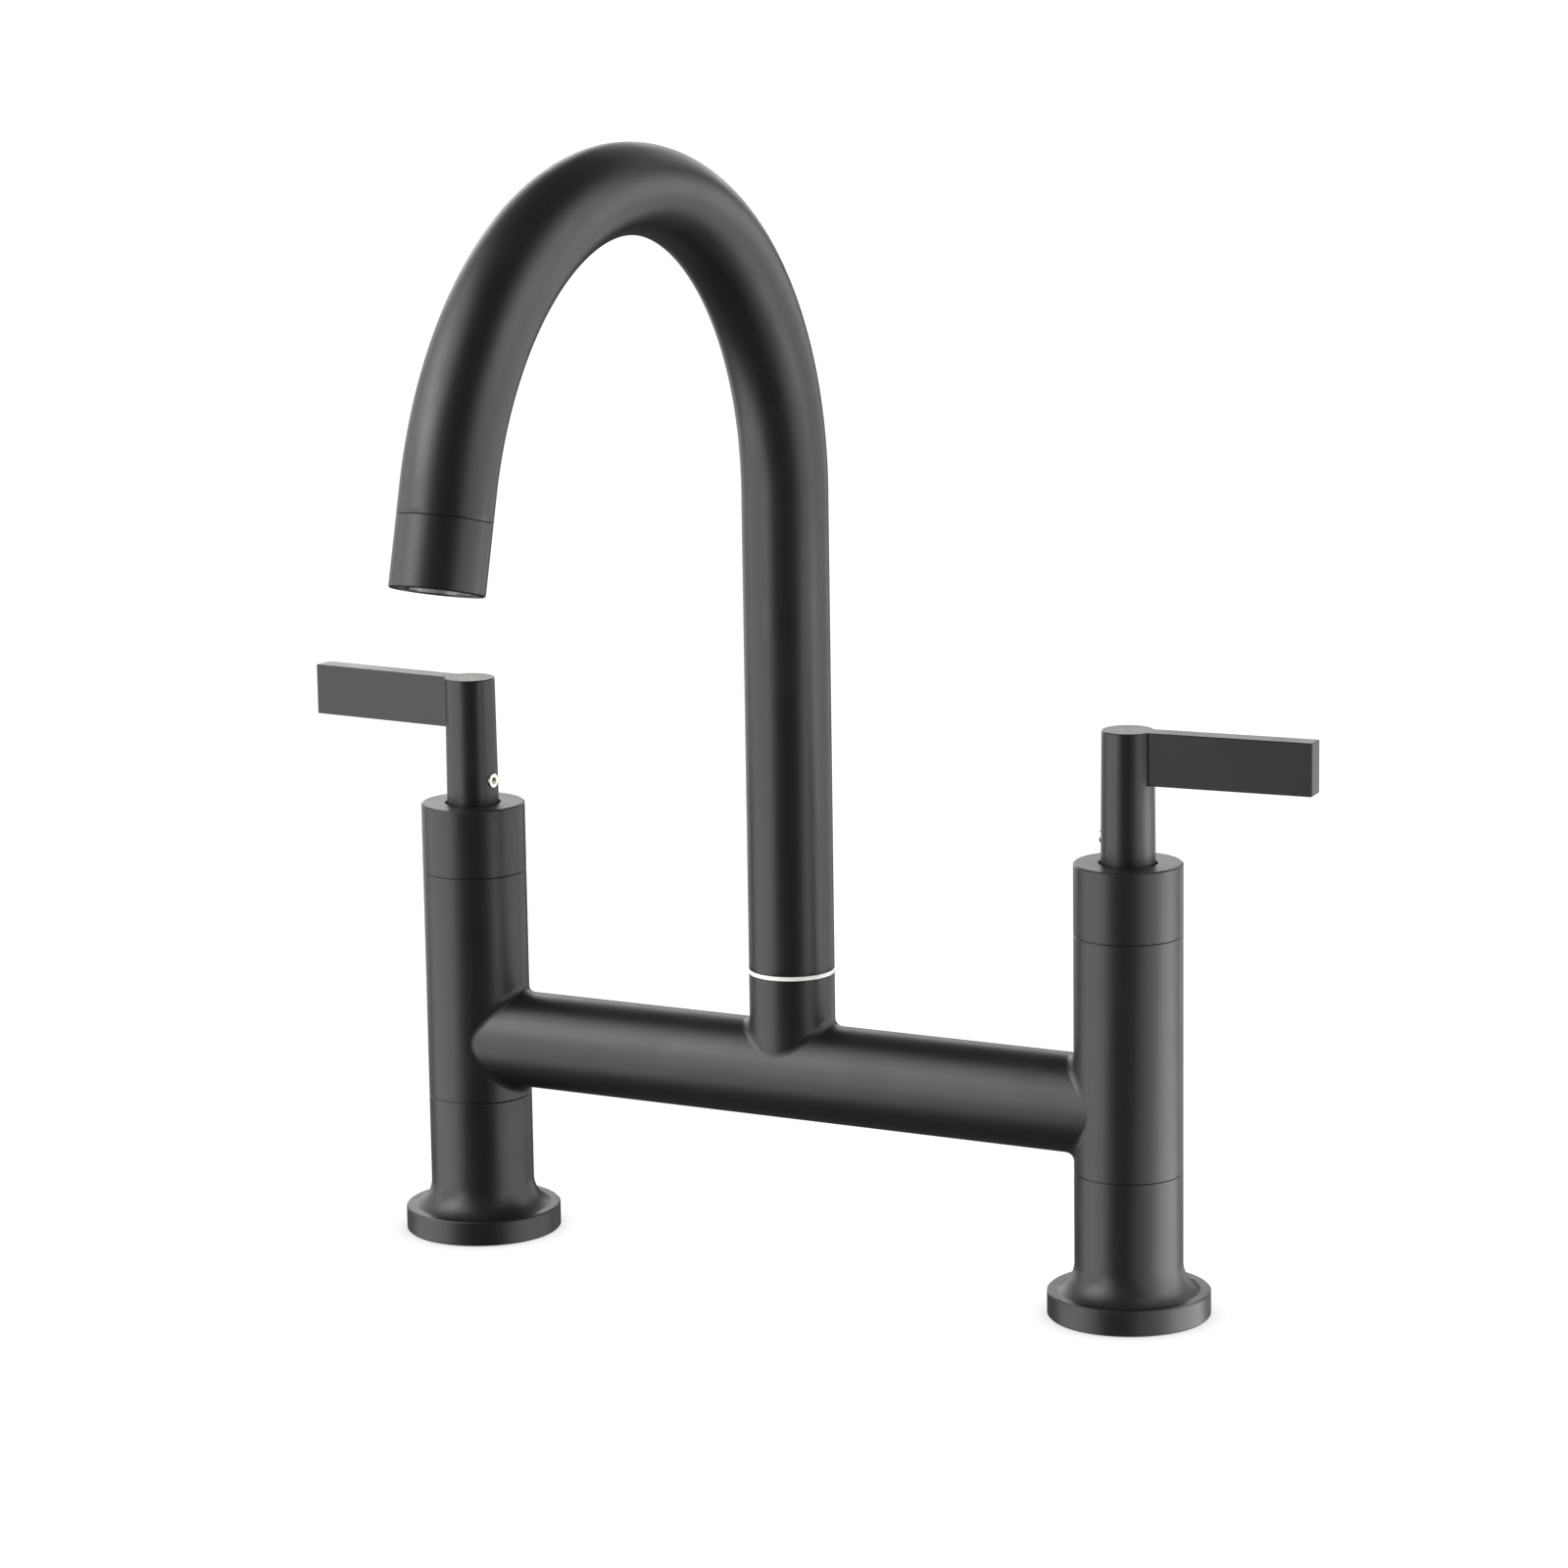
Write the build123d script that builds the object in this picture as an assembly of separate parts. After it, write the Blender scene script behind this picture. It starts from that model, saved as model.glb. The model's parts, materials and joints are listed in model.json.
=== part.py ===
from build123d import *
from math import cos, radians, sin, sqrt
import os

# Bridge kitchen faucet: two columns on flanged feet, a bridge tube between them, a gooseneck spout that
# swivels in the middle, and a quarter-turn blade lever on each column.
#
# Units are millimetres. The origin lies on the deck, midway between the two columns. +X runs from the
# left (hot) column to the right (cold) one, the spout points to -Y at rest, and +Z is up. Lengths are
# driving dimensions; the heights and radii further down are stacked up from them.

# ---------------------------------------------------------------- driving dimensions
INLET_SPACING = 203.2        # between the column axes: 8 inch

# Clearances
THREAD_FIT = 0.1             # radial, between pieces that are screwed or pressed together
RUNNING_FIT = 0.08           # radial, between a turning piece and its bearing
FACE_GAP = 0.1               # between flat faces that turn on each other
SEAL_GAP = 0.05              # between a seal and the walls of its groove
STEP_FIT = 0.3               # lengthways, between a shoulder and the end of what it stops
OVERCUT = 1.0                # how far a cutting shape stands out of what it cuts
SAME = 0.01                  # heights and lengths this close are taken as equal

# Columns and feet
COLUMN_R = 14.7
COLUMN_WALL = 2.5
FOOT_HEIGHT = 39.8           # deck to the lower seam
BARREL_LENGTH = 65.3         # lower seam to upper seam
SEAM_BEVEL = 0.2             # each side of a seam
FLANGE_R = 22.15
FLANGE_H = 7.0
FLANGE_BEVEL = 0.4
COVE_RADIUS = 8.4            # hollow curve from the column's wall down to the flange
COVE_SWEEP = 63.2            # degrees of that curve
COLLAR_WALL = 2.4            # of the foot, around the inlet nipple
COLLAR_STEP = 2.6            # how far the foot's bore narrows above the nipple
ORING_SECTION = 1.8          # of the seals in the foot
GASKET_MARGIN = 1.5          # from the base gasket to the flange's edge
GASKET_WIDTH = 4.4
GASKET_THICKNESS = 1.6

# Bridge tube and spout socket
BRIDGE_R = 13.55
BRIDGE_WALL = 2.0
BRIDGE_BELOW = 3.6           # lower seam to the underside of the bridge
SOCKET_LENGTH = 14.45        # of the spout socket above the bridge
SOCKET_WALL = 2.0
WELD_FILLET = 2.6

# Inlet nipple with a female G1/2 pipe thread
NIPPLE_RECESS = 1.0          # of its face above the deck
NIPPLE_WEB = 2.0             # between the thread and the socket of the supply tube
SUPPLY_SOCKET_DEPTH = 5.0
INLET_THREAD_R = 9.3         # minor radius of G1/2
INLET_THREAD_DEPTH = 12.0
INLET_CHAMFER = 1.1
SPANNER_SLOT_W = 3.0
SPANNER_SLOT_DEPTH = 2.0

# Supply tube
SUPPLY_R = 5.0
SUPPLY_WALL = 1.0
CUP_FLOOR_THICKNESS = 2.0
CUP_WALL = 1.0
CUP_DEPTH = 3.0

# Ceramic cartridge, from the retaining nut inwards
NUT_IN_COLUMN = 9.5          # of the nut, below the upper seam
NUT_IN_SLEEVE = 8.0          # of the nut, above the upper seam
NUT_WALL = 2.1               # around the cartridge's flange
NUT_RIM = 2.6                # around the corners of the nut's hexagon socket
NUT_SHOULDER = 4.0
BARREL_TOP_DEPTH = 4.0       # of the cartridge's shoulder, below the upper seam
BARREL_FLANGE_W = 1.0
BARREL_FLANGE_H = 2.5
BARREL_WALL = 1.6
BARREL_CROWN = 5.8           # solid metal between the discs' chamber and the shoulder
BARREL_STAND = 1.2           # of the barrel's end above the floor of the cup
NECK_WALL = 2.5              # around the spindle
NECK_TO_STEM = 3.6           # from the neck's end to the lever's stem
SEAL_THICKNESS = 2.4
SEAL_BORE_R = 4.2
DISC_THICKNESS = 2.7
DISC_RIM = 1.4               # outside the ports
DISC_PORT_INNER_R = 2.2
DISC_PORT_ANGLE = 70.0
DISC_EAR_W = 2.4
WINDOW_W = 8.0
WINDOW_H = 4.0
WASHER_THICKNESS = 0.8

# Spindle
SPINDLE_R = 4.0
SPINDLE_FOOT_MARGIN = 1.4    # from the foot's edge to the wall of the chamber
SPINDLE_FOOT_H = 3.4
DRIVE_BAR_W = 2.2
DRIVE_BAR_H = 1.2
SPINDLE_ORING_SECTION = 1.2
SPINDLE_ORING_SETBACK = 4.3  # of each O-ring, from the ends of the spindle's bore
CIRCLIP_THICKNESS = 0.8
CIRCLIP_GROOVE_DEPTH = 0.6
CIRCLIP_WIDTH = 2.6
CIRCLIP_OPENING = 3.0
SPLINE_TEETH = 20
SPLINE_DEPTH = 0.5
SPLINE_LEAD = 1.0            # of the teeth, below the stem
PILOT_STEP = 1.0             # how much slimmer the pilot is than the spindle
PILOT_PAST_SCREW = 3.6       # of the pilot above the set screw's axis

# Sleeve
SLEEVE_LENGTH = 19.55
SLEEVE_TOP_THICKNESS = 3.0
SLEEVE_EDGE = 0.4
STEM_GAP = 0.5               # between the stem and the sleeve's hole

# Lever
LEVER_REST_ANGLE = 4.5       # each blade rests this far behind the line through the columns
STEM_RISE = 35.85            # of the stem above the sleeve
STEM_DEPTH = 6.7             # of the stem inside the sleeve
STEM_BOTTOM_R = 7.4
STEM_TOP_R = 7.05
STEM_WALL = 2.0              # around the spline adapter
BLADE_REACH = 51.9           # from the stem's axis to the blade's end
BLADE_THICKNESS = 6.4
BLADE_HEIGHT = 14.25
BLADE_EDGE = 0.25
BLADE_ROOT_FILLET = 1.2
SET_SCREW_RISE = 6.7         # of its axis above the sleeve
SET_SCREW_R = 2.1
SET_SCREW_SOCKET_AF = 2.0
SET_SCREW_SOCKET_DEPTH = 1.8
SET_SCREW_RECESS = 0.05      # below the stem's surface
SET_SCREW_LAND = 1.3         # between the set screw and the spline adapter

# Spout
TUBE_R = 11.85
TUBE_WALL = 1.3
RISER_LENGTH = 132.8         # from the tube's lower end to the centre of its arc
ARC_RADIUS = 88.4
ARC_ANGLE = 165.2
TIP_LENGTH = 17.8            # from the seam to the mouth
TIP_WALL = 1.4               # around the aerator
TIP_SPIGOT_LENGTH = 5.6
TIP_SPIGOT_WALL = 2.3
TIP_SPIGOT_SPARE = 1.2       # straight tube left past the tip's spigot
TIP_ORING_SECTION = 1.2
MOUTH_BEVEL = 0.3
RING_THICKNESS = 1.1
RING_SETBACK = 0.05          # of the white ring, inside the tube's surface
RING_WALL = 0.7              # of its bearing collar
SPIGOT_WALL = 2.0
SPIGOT_IN_TUBE = 26.8
SPIGOT_TAIL = 8.0            # below the lower O-ring
SPOUT_ORING_SECTION = 1.8
SPOUT_GROOVE_LAND = 0.7      # metal left between neighbouring grooves
GRUB_DEPTH = 6.9             # of its axis below the top of the socket
GRUB_R = 2.0
GRUB_GROOVE_DEPTH = 1.1
GRUB_SOCKET_AF = 2.0
GRUB_SOCKET_DEPTH = 1.6
GRUB_RECESS = 0.2

# Aerator
AERATOR_RECESS = 0.3         # of its face inside the mouth
AERATOR_LENGTH = 7.5
AERATOR_WALL = 1.7
AERATOR_NOTCHES = 2
AERATOR_NOTCH_W = 2.2
AERATOR_NOTCH_DEPTH = 0.8
SCREEN_RECESS = 1.2          # of the screen inside the housing's rim
SCREEN_THICKNESS = 0.8
SCREEN_HOLE_R = 0.6
SCREEN_PITCH = 1.9
SCREEN_RINGS = 3
CORE_HOLE_R = 1.1
CORE_PITCH = 3.6
CORE_RINGS = 1
AERATOR_GASKET_THICKNESS = 1.4
AERATOR_GASKET_WIDTH = 3.2

# ---------------------------------------------------------------- heights
LOWER_SEAM_Z = FOOT_HEIGHT
UPPER_SEAM_Z = LOWER_SEAM_Z + BARREL_LENGTH
SLEEVE_TOP_Z = UPPER_SEAM_Z + SLEEVE_LENGTH
BRIDGE_Z = LOWER_SEAM_Z + BRIDGE_BELOW + BRIDGE_R
SOCKET_TOP_Z = BRIDGE_Z + BRIDGE_R + SOCKET_LENGTH

# Foot and inlet
COVE_TOP_Z = FLANGE_H + COVE_RADIUS * sin(radians(COVE_SWEEP))
COLLAR_TOP_Z = LOWER_SEAM_Z + BRIDGE_BELOW + BRIDGE_WALL - THREAD_FIT
COLLAR_ORING_Z = (LOWER_SEAM_Z + COLLAR_TOP_Z) / 2
THREAD_END_Z = NIPPLE_RECESS + INLET_THREAD_DEPTH
SUPPLY_SOCKET_Z = THREAD_END_Z + NIPPLE_WEB
SUPPLY_BOTTOM_Z = SUPPLY_SOCKET_Z + SEAL_GAP
NIPPLE_TOP_Z = SUPPLY_SOCKET_Z + SUPPLY_SOCKET_DEPTH
NIPPLE_ORING_Z = (SUPPLY_SOCKET_Z + NIPPLE_TOP_Z) / 2
COLLAR_STEP_Z = NIPPLE_TOP_Z + STEP_FIT

# Lever
STEM_BOTTOM_Z = SLEEVE_TOP_Z - STEM_DEPTH
LEVER_TOP_Z = SLEEVE_TOP_Z + STEM_RISE
SET_SCREW_Z = SLEEVE_TOP_Z + SET_SCREW_RISE
ADAPTER_TOP_Z = SET_SCREW_Z - SET_SCREW_R - SET_SCREW_LAND
SPLINE_BOTTOM_Z = STEM_BOTTOM_Z - SPLINE_LEAD
PILOT_TOP_Z = SET_SCREW_Z + PILOT_PAST_SCREW

# Cartridge, from the top down
NUT_TOP_Z = UPPER_SEAM_Z + NUT_IN_SLEEVE
NUT_BOTTOM_Z = UPPER_SEAM_Z - NUT_IN_COLUMN
NECK_TOP_Z = STEM_BOTTOM_Z - NECK_TO_STEM
CIRCLIP_BOTTOM_Z = NECK_TOP_Z + FACE_GAP
CIRCLIP_TOP_Z = CIRCLIP_BOTTOM_Z + CIRCLIP_THICKNESS
BARREL_TOP_Z = UPPER_SEAM_Z - BARREL_TOP_DEPTH
NUT_SHOULDER_Z = BARREL_TOP_Z + SEAL_GAP
CHAMBER_TOP_Z = BARREL_TOP_Z - BARREL_CROWN
SPINDLE_ORING_Z = (CHAMBER_TOP_Z + SPINDLE_ORING_SETBACK, NECK_TOP_Z - SPINDLE_ORING_SETBACK)
WASHER_TOP_Z = CHAMBER_TOP_Z - SEAL_GAP
WASHER_BOTTOM_Z = WASHER_TOP_Z - WASHER_THICKNESS
FOOT_TOP_Z = WASHER_BOTTOM_Z - FACE_GAP
FOOT_BOTTOM_Z = FOOT_TOP_Z - SPINDLE_FOOT_H
MOVING_DISC_TOP_Z = FOOT_BOTTOM_Z - SEAL_GAP
MOVING_DISC_BOTTOM_Z = MOVING_DISC_TOP_Z - DISC_THICKNESS
FIXED_DISC_TOP_Z = MOVING_DISC_BOTTOM_Z - SEAL_GAP
FIXED_DISC_BOTTOM_Z = FIXED_DISC_TOP_Z - DISC_THICKNESS
SEAL_TOP_Z = FIXED_DISC_BOTTOM_Z - SEAL_GAP
SEAL_BOTTOM_Z = SEAL_TOP_Z - SEAL_THICKNESS
CUP_FLOOR_Z = SEAL_BOTTOM_Z - SEAL_GAP
BARREL_BOTTOM_Z = CUP_FLOOR_Z + BARREL_STAND

# Spout
RING_TOP_Z = SOCKET_TOP_Z + RING_THICKNESS
TUBE_BOTTOM_Z = RING_TOP_Z + FACE_GAP
ARC_CENTRE_Z = TUBE_BOTTOM_Z + RISER_LENGTH
SPIGOT_TOP_Z = TUBE_BOTTOM_Z + SPIGOT_IN_TUBE
GRUB_Z = SOCKET_TOP_Z - GRUB_DEPTH
GRUB_GROOVE_HALF = GRUB_R + STEP_FIT
RING_COLLAR_Z = GRUB_Z + GRUB_GROOVE_HALF + STEP_FIT
SPOUT_GROOVE_HALF = SPOUT_ORING_SECTION / 2 + SEAL_GAP
UPPER_ORING_Z = GRUB_Z - GRUB_GROOVE_HALF - SPOUT_GROOVE_LAND - SPOUT_GROOVE_HALF
LOWER_ORING_Z = UPPER_ORING_Z - 2 * SPOUT_GROOVE_HALF - SPOUT_GROOVE_LAND
SPOUT_ORING_Z = (LOWER_ORING_Z, UPPER_ORING_Z)
JOURNAL_BOTTOM_Z = LOWER_ORING_Z - SPIGOT_TAIL

# Outlet, measured inwards from the mouth
OUTLET_STRAIGHT = TIP_LENGTH + TIP_SPIGOT_LENGTH + TIP_SPIGOT_SPARE
TIP_ORING_HEIGHT = TIP_LENGTH + TIP_SPIGOT_LENGTH / 2
AERATOR_TOP = AERATOR_RECESS + AERATOR_LENGTH
AERATOR_GASKET_BOTTOM = AERATOR_TOP + SEAL_GAP
AERATOR_GASKET_TOP = AERATOR_GASKET_BOTTOM + AERATOR_GASKET_THICKNESS
TIP_RECESS = AERATOR_GASKET_TOP + SEAL_GAP
SCREEN_BOTTOM = AERATOR_RECESS + SCREEN_RECESS
SCREEN_TOP = SCREEN_BOTTOM + SCREEN_THICKNESS

# ---------------------------------------------------------------- radii
COLUMN_BORE_R = COLUMN_R - COLUMN_WALL
COVE_FOOT_R = COLUMN_R + COVE_RADIUS * (1 - cos(radians(COVE_SWEEP)))
NIPPLE_BORE_R = COLUMN_R - COLLAR_WALL
NIPPLE_R = NIPPLE_BORE_R - THREAD_FIT
COLLAR_BORE_R = NIPPLE_BORE_R - COLLAR_STEP
COLLAR_SPIGOT_R = COLUMN_BORE_R - THREAD_FIT
GASKET_R = FLANGE_R - GASKET_MARGIN
GASKET_INNER_R = GASKET_R - GASKET_WIDTH
SUPPLY_BORE_R = SUPPLY_R - SUPPLY_WALL
NUT_R = COLUMN_BORE_R - THREAD_FIT
NUT_BORE_R = NUT_R - NUT_WALL
NUT_HEX_CORNER_R = NUT_R - NUT_RIM
BARREL_FLANGE_R = NUT_BORE_R - THREAD_FIT
BARREL_R = BARREL_FLANGE_R - BARREL_FLANGE_W
CHAMBER_R = BARREL_R - BARREL_WALL
DISC_R = CHAMBER_R - 2 * THREAD_FIT
DISC_PORT_OUTER_R = DISC_R - DISC_RIM
CUP_BORE_R = BARREL_R + 2 * THREAD_FIT
CUP_R = CUP_BORE_R + CUP_WALL
SPINDLE_FOOT_R = CHAMBER_R - SPINDLE_FOOT_MARGIN
SPINDLE_BORE_R = SPINDLE_R + RUNNING_FIT
NECK_R = SPINDLE_BORE_R + NECK_WALL
CIRCLIP_INNER_R = SPINDLE_R - CIRCLIP_GROOVE_DEPTH + SEAL_GAP
CIRCLIP_R = CIRCLIP_INNER_R + CIRCLIP_WIDTH
PILOT_R = SPINDLE_R - PILOT_STEP
ADAPTER_R = STEM_BOTTOM_R - STEM_WALL
STEM_HOLE_R = STEM_BOTTOM_R + STEM_GAP
TUBE_BORE_R = TUBE_R - TUBE_WALL
RING_R = TUBE_R - RING_SETBACK
SOCKET_R = TUBE_R
SOCKET_BORE_R = SOCKET_R - SOCKET_WALL
RING_COLLAR_R = SOCKET_BORE_R - SEAL_GAP
RING_BORE_R = RING_COLLAR_R - RING_WALL
JOURNAL_R = RING_BORE_R - RUNNING_FIT
SPIGOT_BORE_R = JOURNAL_R - SPIGOT_WALL
SPIGOT_IN_TUBE_R = TUBE_BORE_R - SEAL_GAP
TIP_SPIGOT_R = TUBE_BORE_R - THREAD_FIT
TIP_BORE_R = TIP_SPIGOT_R - TIP_SPIGOT_WALL
AERATOR_SEAT_R = TUBE_R - TIP_WALL
AERATOR_R = AERATOR_SEAT_R - THREAD_FIT
AERATOR_BORE_R = AERATOR_R - AERATOR_WALL
SCREEN_R = AERATOR_BORE_R - SEAL_GAP


# ---------------------------------------------------------------- shapes
def disc(radius, bottom, top):
    """A round bar on the Z axis."""
    return Pos(0, 0, bottom) * Cylinder(radius, top - bottom, align=(Align.CENTER, Align.CENTER, Align.MIN))


def ring(outer_r, inner_r, bottom, top):
    """A round bar with a round hole."""
    return disc(outer_r, bottom, top) - disc(inner_r, bottom - OVERCUT, top + OVERCUT)


def turned(points):
    """A solid turned about the Z axis from a closed outline of (radius, height) points."""
    outline = Polyline(*[(radius, 0, height) for radius, height in points], close=True)
    return revolve(make_face(outline), Axis.Z)


def groove(bore_r, section, height):
    """The ring of metal that is turned away for an O-ring that seals against bore_r."""
    half = section / 2 + SEAL_GAP
    floor_r = bore_r - section - 2 * SEAL_GAP
    return ring(bore_r + OVERCUT, floor_r, height - half, height + half)


def oring(bore_r, section, height):
    """An O-ring in its groove, clear of the bore that it seals against."""
    return Pos(0, 0, height) * Torus(bore_r - SEAL_GAP - section / 2, section / 2)


def sector(outer_r, inner_r, bottom, top, angle, middle):
    """A segment of a ring, angle degrees wide about the direction middle."""
    half = radians(angle / 2)
    reach = outer_r / cos(half) + OVERCUT
    corner = [(0, 0), (reach * cos(half), -reach * sin(half)), (reach * cos(half), reach * sin(half))]
    wedge = extrude(Pos(0, 0, bottom) * make_face(Polyline(*corner, close=True)), top - bottom)
    return ring(outer_r, inner_r, bottom, top) & (Rot(0, 0, middle) * wedge)


def hexagon(across_flats, bottom, top):
    """A hexagonal bar on the Z axis."""
    outline = RegularPolygon(across_flats / 2, 6, major_radius=False)
    return extrude(Pos(0, 0, bottom) * outline, top - bottom)


def splined(outer_r, bottom, top):
    """A bar with straight triangular teeth."""
    points = []
    for step in range(2 * SPLINE_TEETH):
        radius = outer_r if step % 2 == 0 else outer_r - SPLINE_DEPTH
        points.append(Vector(radius, 0, 0).rotate(Axis.Z, 180 * step / SPLINE_TEETH))
    return extrude(Pos(0, 0, bottom) * make_face(Polyline(*points, close=True)), top - bottom)


def honeycomb(pitch, rings):
    """Places of a hexagonal pattern of holes about the origin."""
    places = []
    for column in range(-rings, rings + 1):
        for row in range(-rings, rings + 1):
            if abs(column + row) <= rings:
                places.append((pitch * (column + row / 2), pitch * row * sqrt(3) / 2))
    return places


def bevel(solid, size, *heights):
    """Bevels the outermost round edges that lie at the given heights."""
    for height in heights:
        level = [e for e in solid.edges().filter_by(GeomType.CIRCLE) if abs(e.center().Z - height) < SAME]
        solid = chamfer(max(level, key=lambda e: e.radius), size)
    return solid


# ---------------------------------------------------------------- fixed pieces in the middle
def bridge_body():
    """Both column barrels, the bridge tube and the spout socket, hollow and joined by rounded welds."""
    sides = (-INLET_SPACING / 2, INLET_SPACING / 2)
    barrel = bevel(disc(COLUMN_R, LOWER_SEAM_Z, UPPER_SEAM_Z), SEAM_BEVEL, LOWER_SEAM_Z, UPPER_SEAM_Z)
    tube = Pos(0, 0, BRIDGE_Z) * Rot(0, 90, 0) * Cylinder(BRIDGE_R, INLET_SPACING)
    socket = bevel(disc(SOCKET_R, BRIDGE_Z, SOCKET_TOP_Z), SEAM_BEVEL, SOCKET_TOP_Z)
    barrels = [Pos(x, 0, 0) * barrel for x in sides]
    shell = barrels[0] + barrels[1] + tube + socket
    welds = [e for e in shell.edges() if e.geom_type not in (GeomType.CIRCLE, GeomType.LINE)]
    shell = fillet(welds, WELD_FILLET)

    for x in sides:
        shell -= Pos(x, 0, 0) * disc(COLUMN_BORE_R, LOWER_SEAM_Z - OVERCUT, UPPER_SEAM_Z + OVERCUT)
    shell -= Pos(0, 0, BRIDGE_Z) * Rot(0, 90, 0) * Cylinder(BRIDGE_R - BRIDGE_WALL, INLET_SPACING)
    shell -= disc(SOCKET_BORE_R, BRIDGE_Z, SOCKET_TOP_Z + OVERCUT)
    shell -= rear_screw_bar(GRUB_R + THREAD_FIT, 0, SOCKET_R + OVERCUT)
    return shell


def rear_screw_bar(radius, start, end):
    """A round bar that points to the rear at the height of the grub screw."""
    return Pos(0, 0, GRUB_Z) * Rot(-90, 0, 0) * disc(radius, start, end)


def spout_grub_screw():
    """Headless screw in the rear of the socket; its end stands in the spigot's groove."""
    tip_y = JOURNAL_R - GRUB_GROOVE_DEPTH + STEP_FIT
    face_y = SOCKET_R - GRUB_RECESS
    screw = rear_screw_bar(GRUB_R, tip_y, face_y)
    socket = hexagon(GRUB_SOCKET_AF, face_y - GRUB_SOCKET_DEPTH, face_y + OVERCUT)
    return screw - Pos(0, 0, GRUB_Z) * Rot(-90, 0, 0) * socket


def spout_glide_ring():
    """White plastic ring that the spout turns on, with a bearing collar down in the socket."""
    return turned([(RING_BORE_R, RING_COLLAR_Z), (RING_COLLAR_R, RING_COLLAR_Z),
                   (RING_COLLAR_R, SOCKET_TOP_Z), (RING_R, SOCKET_TOP_Z), (RING_R, RING_TOP_Z),
                   (RING_BORE_R, RING_TOP_Z)])


# ---------------------------------------------------------------- fixed pieces of one column
def base_collar():
    """Foot: flange, cove, barrel below the lower seam, and the spigot that enters the column."""
    def at(radius, height):
        return (radius, 0, height)

    half_sweep = radians(COVE_SWEEP / 2)
    cove_middle = at(COLUMN_R + COVE_RADIUS * (1 - cos(half_sweep)),
                     COVE_TOP_Z - COVE_RADIUS * sin(half_sweep))

    below = Polyline(at(COLLAR_BORE_R, COLLAR_TOP_Z), at(COLLAR_BORE_R, COLLAR_STEP_Z),
                     at(NIPPLE_BORE_R, COLLAR_STEP_Z), at(NIPPLE_BORE_R, 0),
                     at(FLANGE_R - FLANGE_BEVEL, 0), at(FLANGE_R, FLANGE_BEVEL),
                     at(FLANGE_R, FLANGE_H - FLANGE_BEVEL), at(FLANGE_R - FLANGE_BEVEL, FLANGE_H),
                     at(COVE_FOOT_R, FLANGE_H))
    cove = ThreePointArc(at(COVE_FOOT_R, FLANGE_H), cove_middle, at(COLUMN_R, COVE_TOP_Z))
    above = Polyline(at(COLUMN_R, COVE_TOP_Z), at(COLUMN_R, LOWER_SEAM_Z - SEAM_BEVEL),
                     at(COLUMN_R - SEAM_BEVEL, LOWER_SEAM_Z), at(COLLAR_SPIGOT_R, LOWER_SEAM_Z),
                     at(COLLAR_SPIGOT_R, COLLAR_TOP_Z), at(COLLAR_BORE_R, COLLAR_TOP_Z))
    collar = revolve(make_face(Wire([*below.edges(), *cove.edges(), *above.edges()])), Axis.Z)
    collar -= ring(GASKET_R + SEAL_GAP, GASKET_INNER_R - SEAL_GAP, -OVERCUT, GASKET_THICKNESS + SEAL_GAP)
    return collar - groove(COLUMN_BORE_R, ORING_SECTION, COLLAR_ORING_Z)


def base_gasket():
    return ring(GASKET_R, GASKET_INNER_R, 0, GASKET_THICKNESS)


def collar_oring():
    return oring(COLUMN_BORE_R, ORING_SECTION, COLLAR_ORING_Z)


def inlet_nipple():
    """Brass inlet: female pipe thread below, socket of the supply tube above."""
    tube_socket_r = SUPPLY_R + SEAL_GAP
    mouth_r = INLET_THREAD_R + INLET_CHAMFER
    nipple = turned([(mouth_r, NIPPLE_RECESS), (NIPPLE_R, NIPPLE_RECESS), (NIPPLE_R, NIPPLE_TOP_Z),
                     (tube_socket_r, NIPPLE_TOP_Z), (tube_socket_r, SUPPLY_SOCKET_Z),
                     (SUPPLY_BORE_R, SUPPLY_SOCKET_Z), (SUPPLY_BORE_R, THREAD_END_Z),
                     (INLET_THREAD_R, THREAD_END_Z), (INLET_THREAD_R, NIPPLE_RECESS + INLET_CHAMFER)])
    slot = Pos(0, 0, NIPPLE_RECESS) * Box(2 * COLUMN_R, SPANNER_SLOT_W, 2 * SPANNER_SLOT_DEPTH)
    return nipple - slot - groove(NIPPLE_BORE_R, ORING_SECTION, NIPPLE_ORING_Z)


def nipple_oring():
    return oring(NIPPLE_BORE_R, ORING_SECTION, NIPPLE_ORING_Z)


def supply_tube():
    """Inner tube from the inlet to the valve, with the cup that the cartridge stands in."""
    cup_bottom = CUP_FLOOR_Z - CUP_FLOOR_THICKNESS
    cup_top = CUP_FLOOR_Z + CUP_DEPTH
    return turned([(SUPPLY_BORE_R, SUPPLY_BOTTOM_Z), (SUPPLY_R, SUPPLY_BOTTOM_Z), (SUPPLY_R, cup_bottom),
                   (CUP_R, cup_bottom), (CUP_R, cup_top), (CUP_BORE_R, cup_top),
                   (CUP_BORE_R, CUP_FLOOR_Z), (SUPPLY_BORE_R, CUP_FLOOR_Z)])


def seat_seal():
    return ring(DISC_R, SEAL_BORE_R, SEAL_BOTTOM_Z, SEAL_TOP_Z)


def disc_ports(bottom, top):
    """The two water ways of a ceramic disc."""
    low, high = bottom - OVERCUT, top + OVERCUT
    ports = [sector(DISC_PORT_OUTER_R, DISC_PORT_INNER_R, low, high, DISC_PORT_ANGLE, middle)
             for middle in (90, 270)]
    return ports[0] + ports[1]


def fixed_disc():
    """Lower ceramic disc; its two ears stand in slots of the cartridge barrel."""
    reach = 2 * (BARREL_R - STEP_FIT)
    ears = Pos(0, 0, (FIXED_DISC_BOTTOM_Z + FIXED_DISC_TOP_Z) / 2) * Box(reach, DISC_EAR_W, DISC_THICKNESS)
    blank = disc(DISC_R, FIXED_DISC_BOTTOM_Z, FIXED_DISC_TOP_Z) + ears
    return blank - disc_ports(FIXED_DISC_BOTTOM_Z, FIXED_DISC_TOP_Z)


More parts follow.
